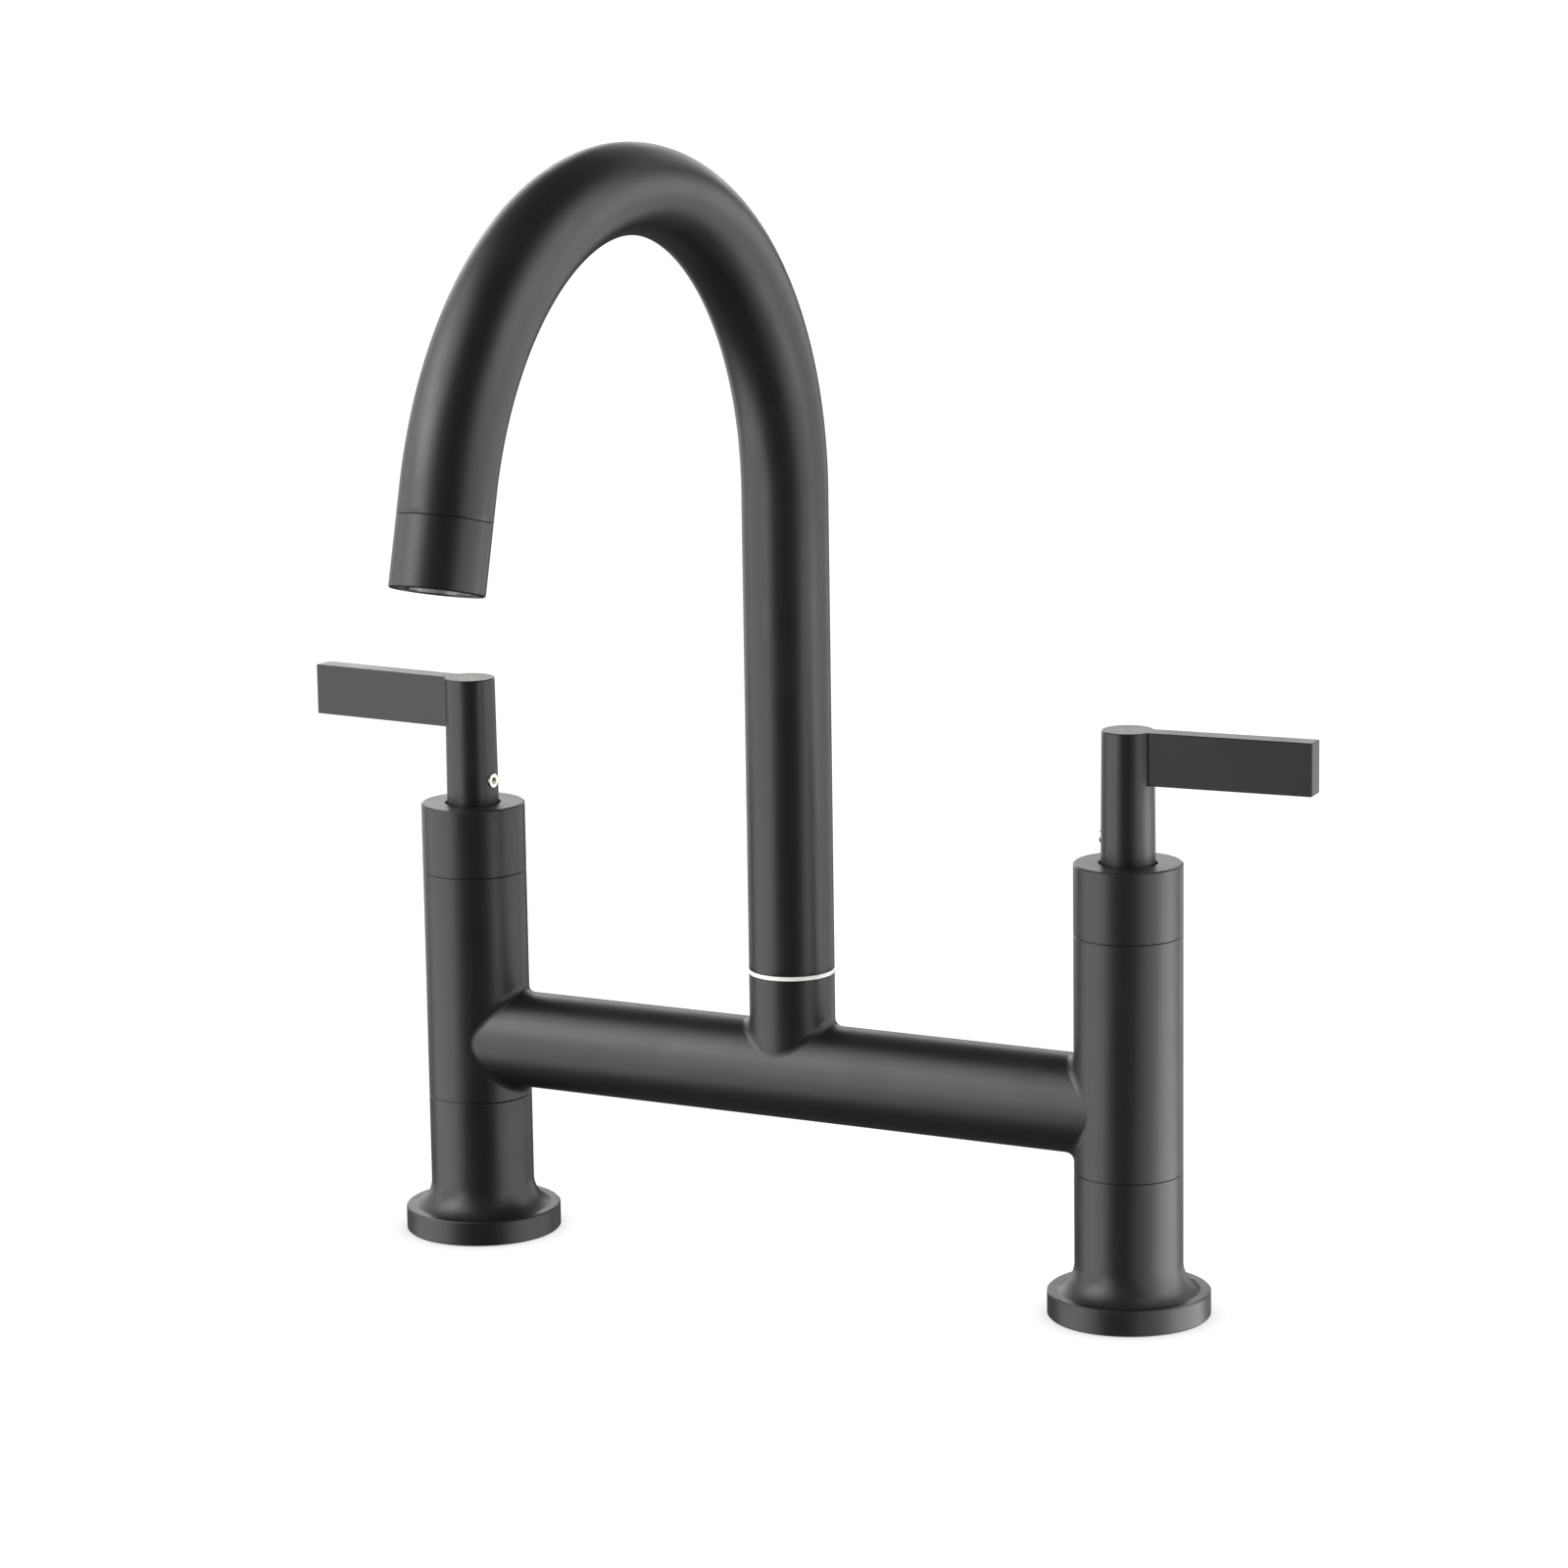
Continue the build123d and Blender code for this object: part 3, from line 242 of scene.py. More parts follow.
class FaucetStage(bpy.types.PropertyGroup):
    """Floor, light and camera."""
    floor_colour: bpy.props.FloatVectorProperty(
        name="Floor", description="Colour of the pale floor", subtype="COLOR",
        size=3, min=0, max=1, default=(1.0, 1.0, 1.0))
    floor_glow: bpy.props.FloatProperty(
        name="Floor glow", description="Brightness of the floor; 1 is as bright as the backdrop",
        min=0, default=1.12)
    shadow_colour: bpy.props.FloatVectorProperty(
        name="Contact shadow", description="Colour of the floor where the feet cover it",
        subtype="COLOR", size=3, min=0, max=1, default=(0.45, 0.45, 0.45))
    shadow_reach: bpy.props.FloatProperty(
        name="Shadow reach", description="How far the soft shadow reaches from the feet",
        subtype="DISTANCE", unit="LENGTH", min=0.001, default=30 * MM)
    floor_radius: bpy.props.FloatProperty(
        name="Floor radius", description="How far the floor reaches", subtype="DISTANCE",
        unit="LENGTH", min=1, default=30.0)
    camera_azimuth: bpy.props.FloatProperty(
        name="Azimuth", description="Camera's angle round the faucet, from straight in front",
        subtype="ANGLE", default=math.radians(27.93))
    camera_elevation: bpy.props.FloatProperty(
        name="Elevation", description="Camera's angle above the deck", subtype="ANGLE",
        default=math.radians(11.23))
    camera_roll: bpy.props.FloatProperty(
        name="Roll", description="Camera's turn about its own axis", subtype="ANGLE",
        default=math.radians(-0.86))
    camera_distance: bpy.props.FloatProperty(
        name="Distance", description="From the camera to the point it aims at",
        subtype="DISTANCE", unit="LENGTH", min=0.1, default=1417.4 * MM)
    camera_target: bpy.props.FloatVectorProperty(
        name="Aim", description="The point the camera aims at", subtype="TRANSLATION",
        unit="LENGTH", size=3, default=(-1.58 * MM, 0.0, 137.65 * MM))
    camera_lens: bpy.props.FloatProperty(
        name="Lens", description="Focal length in millimetres on a 36 mm wide sensor",
        min=10, default=118.55)


# ---------------------------------------------------------------- node helpers
NODE_WIDTH, NODE_HEIGHT = 220, 240
NODES_IN_ROW = 12
NOISE_SPAN = (0.3, 0.7)  # where most values of a noise lie


def node(tree, kind, place, inputs=None, **settings):
    """A new node with its settings and the constant values of its inputs."""
    made = tree.nodes.new(kind)
    made.location = place
    for name, value in settings.items():
        setattr(made, name, value)
    for name, value in (inputs or {}).items():
        made.inputs[name].default_value = value
    return made


def new_material(name):
    """An empty node material with its output and a Principled shader."""
    material = bpy.data.materials.new(name)
    material.use_nodes = True
    tree = material.node_tree
    tree.nodes.clear()
    output = node(tree, "ShaderNodeOutputMaterial", (400, 0))
    shader = node(tree, "ShaderNodeBsdfPrincipled", (100, 0))
    tree.links.new(shader.outputs["BSDF"], output.inputs["Surface"])
    return material, tree, shader


def texture(tree, kind, place, inputs):
    """A texture that reads Object coordinates."""
    coordinates = node(tree, "ShaderNodeTexCoord", (place[0] - NODE_WIDTH, place[1]))
    made = node(tree, kind, place, inputs)
    tree.links.new(coordinates.outputs["Object"], made.inputs["Vector"])
    return made


def noise(tree, place, size, detail):
    """Noise with the given distance between its waves."""
    waves = texture(tree, "ShaderNodeTexNoise", place, {"Scale": 1 / size, "Detail": detail})
    return waves.outputs["Fac"]


def map_range(tree, place, value, low, high, source=NOISE_SPAN):
    """Maps a texture's value to a range of numbers."""
    mapping = node(tree, "ShaderNodeMapRange", place, {
        "From Min": source[0], "From Max": source[1], "To Min": low, "To Max": high})
    tree.links.new(value, mapping.inputs["Value"])
    return mapping.outputs["Result"]


def specks(tree, place, spacing, radius):
    """Small round specks: 1 in the middle of a speck, 0 beyond its radius."""
    cells = texture(tree, "ShaderNodeTexVoronoi", place, {"Scale": 1 / spacing})
    return map_range(tree, (place[0] + NODE_WIDTH, place[1]), cells.outputs["Distance"], 1, 0,
                     source=(0, radius / spacing))


def bump(tree, place, height, depth, strength, normal=None):
    """Bump with a depth in metres, on top of another normal if one is given."""
    made = node(tree, "ShaderNodeBump", place, {"Distance": depth, "Strength": strength})
    tree.links.new(height, made.inputs["Height"])
    if normal:
        tree.links.new(normal, made.inputs["Normal"])
    return made.outputs["Normal"]


def shade(colour, factor=1.0):
    """A colour for a socket, lighter or darker by a factor."""
    return (*[factor * part for part in colour], 1)


# ---------------------------------------------------------------- geometry trees and meshes
MERGE_DISTANCE = 0.0005 * MM
CREASE_ANGLE = math.radians(35)  # faces that meet at more than this aren't smoothed together


class Amount:
    """A number in a geometry tree; arithmetic on it adds Math nodes."""

    def __init__(self, tree, socket):
        self.tree, self.socket = tree, socket

    def math(self, operation, *others):
        inputs = dict(enumerate((self, *others)))
        return Amount(self.tree, self.tree.add("ShaderNodeMath", inputs, operation=operation))

    def __add__(self, other):
        return self.math("ADD", other)

    def __sub__(self, other):
        return self.math("SUBTRACT", other)

    def __mul__(self, other):
        return self.math("MULTIPLY", other)

    def __truediv__(self, other):
        return self.math("DIVIDE", other)

    def __neg__(self):
        return self * -1.0


class Tree:
    """A geometry tree with named inputs; it ends in Realize Instances and Set Material."""

    def __init__(self, name, sizes):
        self.group = bpy.data.node_groups.new(name, "GeometryNodeTree")
        for label, value in sizes.items():
            kind = {int: "NodeSocketInt", float: "NodeSocketFloat"}[type(value)]
            socket = self.group.interface.new_socket(label, in_out="INPUT", socket_type=kind)
            socket.default_value = value
        self.group.interface.new_socket("Finish", in_out="INPUT", socket_type="NodeSocketMaterial")
        self.group.interface.new_socket("Mesh", in_out="OUTPUT", socket_type="NodeSocketGeometry")
        self.entry = self.group.nodes.new("NodeGroupInput")
        self.sizes = sizes

    def size(self, label):
        return Amount(self, self.entry.outputs[label])

    def add(self, kind, inputs=None, output=0, **settings):
        """A new node; its inputs are plain values, amounts or other nodes' sockets."""
        made = self.group.nodes.new(kind)
        row, column = divmod(len(self.group.nodes), NODES_IN_ROW)
        made.location = (NODE_WIDTH * column, -NODE_HEIGHT * row)
        for name, value in settings.items():
            setattr(made, name, value)
        for name, value in (inputs or {}).items():
            for part in value if isinstance(value, list) else [value]:
                part = getattr(part, "socket", part)
                if isinstance(part, bpy.types.NodeSocket):
                    self.group.links.new(part, made.inputs[name])
                else:
                    made.inputs[name].default_value = part
        return made.outputs[output]

    def amount(self, kind, inputs=None, output=0, **settings):
        return Amount(self, self.add(kind, inputs, output, **settings))

    def vector(self, x=0.0, y=0.0, z=0.0):
        return self.add("ShaderNodeCombineXYZ", {"X": x, "Y": y, "Z": z})

    def place(self):
        """The x, y and z of each point."""
        parts = self.group.nodes.new("ShaderNodeSeparateXYZ")
        self.group.links.new(self.add("GeometryNodeInputPosition"), parts.inputs["Vector"])
        return [Amount(self, parts.outputs[axis]) for axis in "XYZ"]

    def lift(self, geometry, height):
        """Moves geometry up."""
        return self.add("GeometryNodeTransform", {
            "Geometry": geometry, "Translation": self.vector(z=height)})

    def bar(self, radius, length, middle=0.0, sides=96):
        """A closed bar about Z with its middle at the given height."""
        made = self.add("GeometryNodeMeshCylinder", {
            "Vertices": sides, "Radius": radius, "Depth": length})
        return self.lift(made, middle)

    def hexagon(self, flats, length):
        """A closed hexagonal bar about Z with the given width across its flats."""
        return self.bar(flats / math.sqrt(3), length, sides=6)

    def combine(self, operation, first, *others):
        """Cuts or joins closed bodies."""
        inputs = {"Mesh 1": first, "Mesh 2": list(others)}
        if operation == "UNION":
            inputs = {"Mesh 2": [first, *others]}
        return self.add("GeometryNodeMeshBoolean", inputs, operation=operation, solver="EXACT")

    def on_both_columns(self, geometry):
        """Repeats geometry on the two columns' axes."""
        half = self.size("Spacing") / 2.0
        axes = self.add("GeometryNodeMeshLine", {
            "Count": len(SIDES), "Start Location": self.vector(x=-half),
            "Offset": self.vector(x=half)}, mode="END_POINTS")
        return self.add("GeometryNodeInstanceOnPoints", {"Points": axes, "Instance": geometry})

    def close(self, geometry):
        """Ends the tree."""
        whole = self.add("GeometryNodeRealizeInstances", {"Geometry": geometry})
        coated = self.add("GeometryNodeSetMaterial", {
            "Geometry": whole, "Material": self.entry.outputs["Finish"]})
        leave = self.group.nodes.new("NodeGroupOutput")
        self.group.links.new(coated, leave.inputs["Mesh"])
        return self


def plain_mesh(piece):
    """A new mesh of a piece as its modifiers or its text leave it."""
    evaluated = piece.evaluated_get(bpy.context.evaluated_depsgraph_get())
    return bpy.data.meshes.new_from_object(evaluated)


def apply_modifiers(piece):
    """Gives a piece the plain mesh that its modifiers leave."""
    mesh = plain_mesh(piece)
    piece.modifiers.clear()
    piece.data = mesh


def settle(piece):
    """Turns a piece with modifiers into a plain, closed mesh with outward faces."""
    apply_modifiers(piece)
    tidy_mesh(piece.data)


def tidy_mesh(mesh):
    """Merges doubles, turns faces outward, checks that the mesh is closed and smooths it."""
    work = bmesh.new()
    work.from_mesh(mesh)
    bmesh.ops.remove_doubles(work, verts=work.verts, dist=MERGE_DISTANCE)
    bmesh.ops.recalc_face_normals(work, faces=work.faces)
    if any(not edge.is_manifold for edge in work.edges):
        raise RuntimeError(f"{mesh.name} isn't closed")
    if work.calc_volume(signed=True) < 0:
        bmesh.ops.reverse_faces(work, faces=work.faces)
    work.to_mesh(mesh)
    work.free()
    mesh.shade_smooth()
    mesh.set_sharp_from_angle(angle=CREASE_ANGLE)


def grow(name, tree, sizes, finish):
    """Runs a geometry tree with the given sizes and keeps its result as an open piece."""
    piece = bpy.data.objects.new(name, bpy.data.meshes.new(name))
    bpy.context.scene.collection.objects.link(piece)
    shape = piece.modifiers.new("shape", "NODES")
    shape.node_group = tree.group
    values = {**tree.sizes, **sizes, "Finish": finish}
    for item in tree.group.interface.items_tree:
        if item.in_out == "INPUT":
            shape[item.identifier] = values[item.name]
    apply_modifiers(piece)
    return piece


def facing(point, way):
    """The place of a piece that stands at a point with its Z axis along a direction."""
    return Matrix.Translation(point) @ way.to_track_quat("Z", "Y").to_matrix().to_4x4()


def fit_in(piece, body, slot, *nodes, place=None):
    if place is not None:
        piece.data.transform(place)
    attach(piece, body)
    if nodes:
        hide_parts(*nodes)


# ---------------------------------------------------------------- finishes
# coating: size and spread of its patches of roughness and colour, then its relief and dust
SHEEN_SIZE, SHEEN_SPREAD = 14 * MM, 0.03
TINT_SIZE, TINT_SPREAD = 9 * MM, 0.15
PEEL_DEPTH, GRAIN_DEPTH, SPECK_DEPTH = 0.004 * MM, 0.0012 * MM, 0.03 * MM
SPECK_LIGHTNESS = 4
# other finishes: size and relief of their texture, and how far it spreads their roughness
SPECKLE_SIZE, SPECKLE_DEPTH, SPECKLE_SPREAD = 1.2 * MM, 0.004 * MM, 0.1
TOOL_MARK_SIZE, TOOL_MARK_DEPTH, TOOL_MARK_SPREAD = 0.12 * MM, 0.001 * MM, 0.2
COATING_BUMP, PLAIN_BUMP = 0.5, 0.4  # strengths of the relief
SCATTER_DEPTH = 0.4 * MM  # how far light reaches into plastic


def coating(name, finish):
    """Sprayed and baked black: soft peel, fine grain, uneven sheen and colour, a few specks."""
    material, tree, shader = new_material(name)
    peel = noise(tree, (-900, -500), finish.peel_size, detail=1.0)
    grain = noise(tree, (-900, -750), finish.grain_size, detail=3.0)
    sheen = noise(tree, (-900, -200), SHEEN_SIZE, detail=3.0)
    tint = noise(tree, (-900, 200), TINT_SIZE, detail=2.0)
    dust = specks(tree, (-900, 450), finish.speck_spacing, finish.speck_size)
    colour, roughness = finish.coating_colour, finish.coating_roughness
    uneven = node(tree, "ShaderNodeMix", (-500, 200), {
        "A": shade(colour, 1 - TINT_SPREAD), "B": shade(colour, 1 + TINT_SPREAD)}, data_type="RGBA")
    tree.links.new(tint, uneven.inputs["Factor"])
    dusty = node(tree, "ShaderNodeMix", (-250, 300), {"B": shade(colour, SPECK_LIGHTNESS)},
                 data_type="RGBA")
    tree.links.new(dust, dusty.inputs["Factor"])
    tree.links.new(uneven.outputs["Result"], dusty.inputs["A"])
    tree.links.new(dusty.outputs["Result"], shader.inputs["Base Color"])
    tree.links.new(
        map_range(tree, (-500, -200), sheen, roughness - SHEEN_SPREAD, roughness + SHEEN_SPREAD),
        shader.inputs["Roughness"])
    relief = bump(tree, (-700, -500), peel, PEEL_DEPTH, COATING_BUMP)
    relief = bump(tree, (-450, -500), grain, GRAIN_DEPTH, COATING_BUMP, relief)
    relief = bump(tree, (-200, -500), dust, SPECK_DEPTH, COATING_BUMP, relief)
    tree.links.new(relief, shader.inputs["Normal"])
    return material


def roughen(tree, shader, pattern, roughness, spread, depth):
    """Lets a pattern vary the roughness by a share of it and raise a faint relief."""
    tree.links.new(
        map_range(tree, (-300, -200), pattern, (1 - spread) * roughness, (1 + spread) * roughness),
        shader.inputs["Roughness"])
    tree.links.new(bump(tree, (-300, -450), pattern, depth, PLAIN_BUMP), shader.inputs["Normal"])


def moulded(name, colour, roughness, subsurface=0.0):
    """Moulded plastic, rubber or fired ceramic with a faint texture."""
    material, tree, shader = new_material(name)
    shader.inputs["Base Color"].default_value = shade(colour)
    shader.inputs["Subsurface Weight"].default_value = subsurface
    shader.inputs["Subsurface Scale"].default_value = SCATTER_DEPTH
    speckle = noise(tree, (-700, -200), SPECKLE_SIZE, detail=2.0)
    roughen(tree, shader, speckle, roughness, SPECKLE_SPREAD, SPECKLE_DEPTH)
    return material


def turned_metal(name, colour, roughness):
    """Machined or plated metal with fine tool marks."""
    material, tree, shader = new_material(name)
    shader.inputs["Base Color"].default_value = shade(colour)
    shader.inputs["Metallic"].default_value = 1.0
    tool_marks = noise(tree, (-700, -200), TOOL_MARK_SIZE, detail=3.0)
    roughen(tree, shader, tool_marks, roughness, TOOL_MARK_SPREAD, TOOL_MARK_DEPTH)
    return material


def make_finishes(finish):
    """All finishes, by the record's slot names; mark is the letters' own."""
    return {
        "black_coating": coating("black_coating_sprayed", finish),
        "lever_coating": coating("lever_coating_sprayed", finish),
        "white_plastic": moulded(
            "white_acetal", finish.ring_colour, roughness=0.35, subsurface=0.2),
        "grey_plastic": moulded("grey_insert_plastic", finish.insert_colour, roughness=0.4),
        "brass": turned_metal("turned_brass", finish.brass_colour, roughness=0.28),
        "steel": turned_metal("bright_steel", finish.steel_colour, roughness=0.22),
        "chrome": turned_metal("plated_chrome", finish.chrome_colour, roughness=0.1),
        "ceramic": moulded("lapped_ceramic", finish.ceramic_colour, roughness=0.15),
        "black_rubber": moulded("seal_rubber", finish.rubber_colour, roughness=0.6),
        "mark": moulded("bare_mark", finish.mark_colour, roughness=0.45),
    }


class FAUCET_OT_finishes(bpy.types.Operator):
    """Gives every carried-over solid its finish"""
    bl_idname = "faucet.finishes"
    bl_label = "Finishes"

    def execute(self, context):
        finishes = make_finishes(context.scene.faucet_finish)
        for solid in frame["nodes"].values():
            for slot in solid.material_slots:
                if slot.material.name in finishes:
                    slot.material = finishes[slot.material.name]
        return {"FINISHED"}


# ---------------------------------------------------------------- spout
BEVEL_SEGMENTS, BEVEL_ANGLE = 2, math.radians(60)


def bent_tube_tree():
    """Round tube that rises, bends over along an arc and ends in a straight outlet."""
    tree = Tree("bent_tube", {
        "Foot": 0.0, "Riser": 0.1, "Arc radius": 0.1, "Arc angle": 1.0, "Outlet": 0.01,
        "Tube radius": 0.01, "Points": 240, "Sides": 96})
    riser, bend = tree.size("Riser"), tree.size("Arc radius")
    sweep, outlet = tree.size("Arc angle"), tree.size("Outlet")
    line = tree.add("GeometryNodeCurvePrimitiveLine", {"End": tree.vector(z=1.0)})
    line = tree.add("GeometryNodeResampleCurve", {"Curve": line, "Count": tree.size("Points")})
    way = tree.amount("GeometryNodeSplineParameter") * (riser + bend * sweep + outlet)
    angle = ((way - riser) / bend).math("MAXIMUM", 0.0).math("MINIMUM", sweep)
    beyond = (way - riser - bend * sweep).math("MAXIMUM", 0.0)
    cosine, sine = angle.math("COSINE"), angle.math("SINE")
    forward = bend * (cosine - 1.0) - beyond * sine
    height = tree.size("Foot") + way.math("MINIMUM", riser) + bend * sine + beyond * cosine
    path = tree.add("GeometryNodeSetPosition", {
        "Geometry": line, "Position": tree.vector(y=forward, z=height)})
    ring = tree.add("GeometryNodeCurvePrimitiveCircle", {
        "Resolution": tree.size("Sides"), "Radius": tree.size("Tube radius")})
    return tree.close(tree.add("GeometryNodeCurveToMesh", {"Curve": path, "Profile Curve": ring}))


class FAUCET_OT_spout(bpy.types.Operator):
    """Bends the spout tube along its riser and arc"""
    bl_idname = "faucet.spout"
    bl_label = "Spout tube"

    def execute(self, context):
        spout = context.scene.faucet_spout
        low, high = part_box("spout_tube")
        tube = grow("bent_spout_tube", bent_tube_tree(), {
            "Foot": low.z, "Riser": spout.riser_length, "Arc radius": spout.arc_radius,
            "Arc angle": spout.arc_angle, "Outlet": spout.outlet_length, "Tube radius": high.x,
        }, bpy.data.materials["black_coating_sprayed"])
        wall = tube.modifiers.new("wall", "SOLIDIFY")
        wall.thickness, wall.offset = spout.wall, inward_offset(tube)
        edge = tube.modifiers.new("edge", "BEVEL")
        edge.width, edge.segments, edge.angle_limit = spout.edge, BEVEL_SEGMENTS, BEVEL_ANGLE
        settle(tube)
        fit_in(tube, "spout", "black_coating", "spout_tube")
        return {"FINISHED"}


def inward_offset(tube):
    """The Solidify offset that puts the wall inside an open tube's surface."""
    face = tube.data.polygons[0]
    return -1 if face.normal.dot(face.center - Vector((0, 0, face.center.z))) > 0 else 1


# ---------------------------------------------------------------- screws
# drill point below a hexagon socket and how far it reaches into it, for 1 across the flats
DRILL_RADIUS, DRILL_DEPTH, DRILL_OVERLAP = 0.47, 0.25, 0.01


def socket_screw_tree():
    """Headless screw about Z with its face at height 0: a chamfered bar with a hexagon socket."""
    tree = Tree("socket_screw", {
        "Radius": 0.002, "Length": 0.004, "Chamfer": 0.0003, "Across flats": 0.002,
        "Socket depth": 0.0015})
    radius, length, chamfer = tree.size("Radius"), tree.size("Length"), tree.size("Chamfer")
    flats, depth = tree.size("Across flats"), tree.size("Socket depth")
    rings = tree.add("GeometryNodeMeshCylinder", {
        "Vertices": 64, "Side Segments": 3, "Radius": radius, "Depth": length})
    x, y, z = tree.place()
    end = (z / length).math("ABSOLUTE").math("GREATER_THAN", 0.4)  # 1 on the rings at both ends
    slim = -(end * chamfer / radius) + 1.0
    height = z.math("SIGN") * (length / 2.0 + (end - 1.0) * chamfer) - length / 2.0
    bar = tree.add("GeometryNodeSetPosition", {
        "Geometry": rings, "Position": tree.vector(x * slim, y * slim, height)})
    hexagon = tree.hexagon(flats, depth * 2.0)
    drill = tree.add("GeometryNodeMeshCone", {
        "Vertices": 32, "Radius Bottom": 0.0, "Radius Top": flats * DRILL_RADIUS,
        "Depth": flats * DRILL_DEPTH})
    drill = tree.lift(drill, -depth - flats * (DRILL_DEPTH - DRILL_OVERLAP))
    return tree.close(tree.combine("DIFFERENCE", bar, hexagon, drill))


def screw_seat(packed, way):
    """Radius, length and middle of the face of a packed screw that lies level along a direction."""
    low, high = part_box(packed)
    radius = (high.z - low.z) / 2
    along, across = (0, 1) if abs(way.x) > abs(way.y) else (1, 0)
    length = ((high - low)[along] - 2 * radius * abs(way[across])) / abs(way[along])
    return radius, length, (low + high) / 2 + way * length / 2


class FAUCET_OT_screws(bpy.types.Operator):
    """Puts a screw with a hexagon socket in each lever's stem and in the spout's socket"""
    bl_idname = "faucet.screws"
    bl_label = "Screws"

    def execute(self, context):
        screws = context.scene.faucet_screws
        tree = socket_screw_tree()
        angle, rise = screws.lever_angle, screws.proud
        seats = (
            ("left_lever_screw", "left_set_screw", "left_handle", -angle, rise),
            ("right_lever_screw", "right_set_screw", "right_handle", math.pi + angle, rise),
            ("spout_retaining_screw", "spout_grub_screw", "faucet", math.pi / 2, 0.0),
        )
        for name, packed, body, turn, proud in seats:
            way = Vector((math.cos(turn), math.sin(turn), 0))
            radius, length, face = screw_seat(packed, way)
            screw = grow(name, tree, {
                "Radius": radius - screws.clearance, "Length": length + proud,
                "Chamfer": screws.chamfer, "Across flats": screws.across_flats,
                "Socket depth": screws.socket_depth,
            }, bpy.data.materials["bright_steel"])
            settle(screw)
            fit_in(screw, body, "steel", packed, place=facing(face + way * proud, way))
        return {"FINISHED"}


# ---------------------------------------------------------------- aerator
def honeycomb_tree():
    """Round plate about Z with a honeycomb of openings."""
    tree = Tree("aerator_honeycomb", {
        "Radius": 0.0086, "Thickness": 0.0008, "Cell pitch": 0.0015, "Cell wall": 0.0003,
        "Rim": 0.0006, "Rows": 21})
    radius, thickness = tree.size("Radius"), tree.size("Thickness")
    pitch, rows = tree.size("Cell pitch"), tree.size("Rows")
    row_step = pitch * math.sin(math.radians(60))
    grid = tree.add("GeometryNodeMeshGrid", {
        "Size X": pitch * (rows - 1.0), "Size Y": row_step * (rows - 1.0),
        "Vertices X": rows, "Vertices Y": rows})
    row = tree.place()[1] / row_step
    grid = tree.add("GeometryNodeSetPosition", {  # every other row is set over by half a cell
        "Geometry": grid, "Offset": tree.vector(x=row.math("PINGPONG", 1.0) * pitch / 2.0)})
    far = tree.amount("ShaderNodeVectorMath", {0: tree.add("GeometryNodeInputPosition")},
                      output="Value", operation="LENGTH")
    inside = far.math("LESS_THAN", radius - tree.size("Rim") - pitch / 2.0)
    cells = tree.add("GeometryNodeInstanceOnPoints", {
        "Points": grid, "Selection": inside, "Rotation": tree.vector(z=math.radians(30)),
        "Instance": tree.hexagon(pitch - tree.size("Cell wall"), thickness * 3.0)})
    cells = tree.add("GeometryNodeRealizeInstances", {"Geometry": cells})
    return tree.close(tree.combine("DIFFERENCE", tree.bar(radius, thickness), cells))


class FAUCET_OT_aerator(bpy.types.Operator):
    """Puts the honeycomb in the mouth of the spout"""
    bl_idname = "faucet.aerator"
    bl_label = "Aerator"

    def execute(self, context):
        aerator = context.scene.faucet_aerator
        plate = grow("aerator_honeycomb", honeycomb_tree(), {
            "Radius": aerator.radius, "Thickness": aerator.thickness,
            "Cell pitch": aerator.cell_pitch, "Cell wall": aerator.cell_wall, "Rim": aerator.rim,
        }, bpy.data.materials["grey_insert_plastic"])
        settle(plate)
        mounts = {mount["name"]: mount for mount in frame["record"]["mounts"]}
        mouth = mounts["spout_outlet"]
        inward = -Vector(mouth["axis"]).normalized()
        centre = Vector(mouth["pos_m"]) + inward * (aerator.setback + aerator.thickness / 2)
        fit_in(plate, "spout", "grey_plastic", "aerator_screen", place=facing(centre, inward))
        return {"FINISHED"}


# ---------------------------------------------------------------- marks
DRAWN_SIZE = 8 * MM  # a letter is drawn at this size, then brought to its height


class FAUCET_OT_marks(bpy.types.Operator):
    """Marks the levers with H for hot and C for cold"""
    bl_idname = "faucet.marks"
    bl_label = "Marks"

    def execute(self, context):
        marks = context.scene.faucet_marks
        for side, letter in zip(SIDES, "HC"):
            low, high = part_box(f"{side}_sleeve")
            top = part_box(f"{side}_lever")[1].z
            text = bpy.data.curves.new(f"{side}_lever_mark", "FONT")
            text.body, text.size = letter, DRAWN_SIZE
            text.extrude, text.offset = 2 * marks.relief, -marks.thinning
            drawn = bpy.data.objects.new(f"{side}_lever_letter", text)
            context.scene.collection.objects.link(drawn)
            shape = plain_mesh(drawn)
            bpy.data.objects.remove(drawn)
            shape.materials.clear()
            shape.materials.append(bpy.data.materials["bare_mark"])
            tidy_mesh(shape)
            least, most = [Vector(pick(v.co[i] for v in shape.vertices) for i in range(3))
                           for pick in (min, max)]
            fitting = marks.height / (most - least).y
            seat = Vector(((low.x + high.x) / 2, (low.y + high.y) / 2, top - marks.relief))
            place = (Matrix.Translation(seat) @ Matrix.Diagonal((fitting, fitting, 1, 1))
                     @ Matrix.Translation(-(least + most) / 2))
            mark = bpy.data.objects.new(f"{side}_lever_mark", shape)
            context.scene.collection.objects.link(mark)
            fit_in(mark, f"{side}_handle", "steel", place=place)
        return {"FINISHED"}


# ---------------------------------------------------------------- inlets
CUTTER_SPARE = 0.5 * MM  # how far a bore's cutter reaches past its ends
THREAD_RUNOUT = 1.6  # what the thread leaves free of its bore, in pitches
RIDGE_HALF_WIDTH = 0.47  # half the width of the thread's ridge, in pitches
GASKET_SIDES, RIB_STEPS = 128, 24
PAST_EDGE = 0.5001  # just over half the way round a gasket's section, where its flat top begins
SEAM_DISTANCE = 0.002 * MM


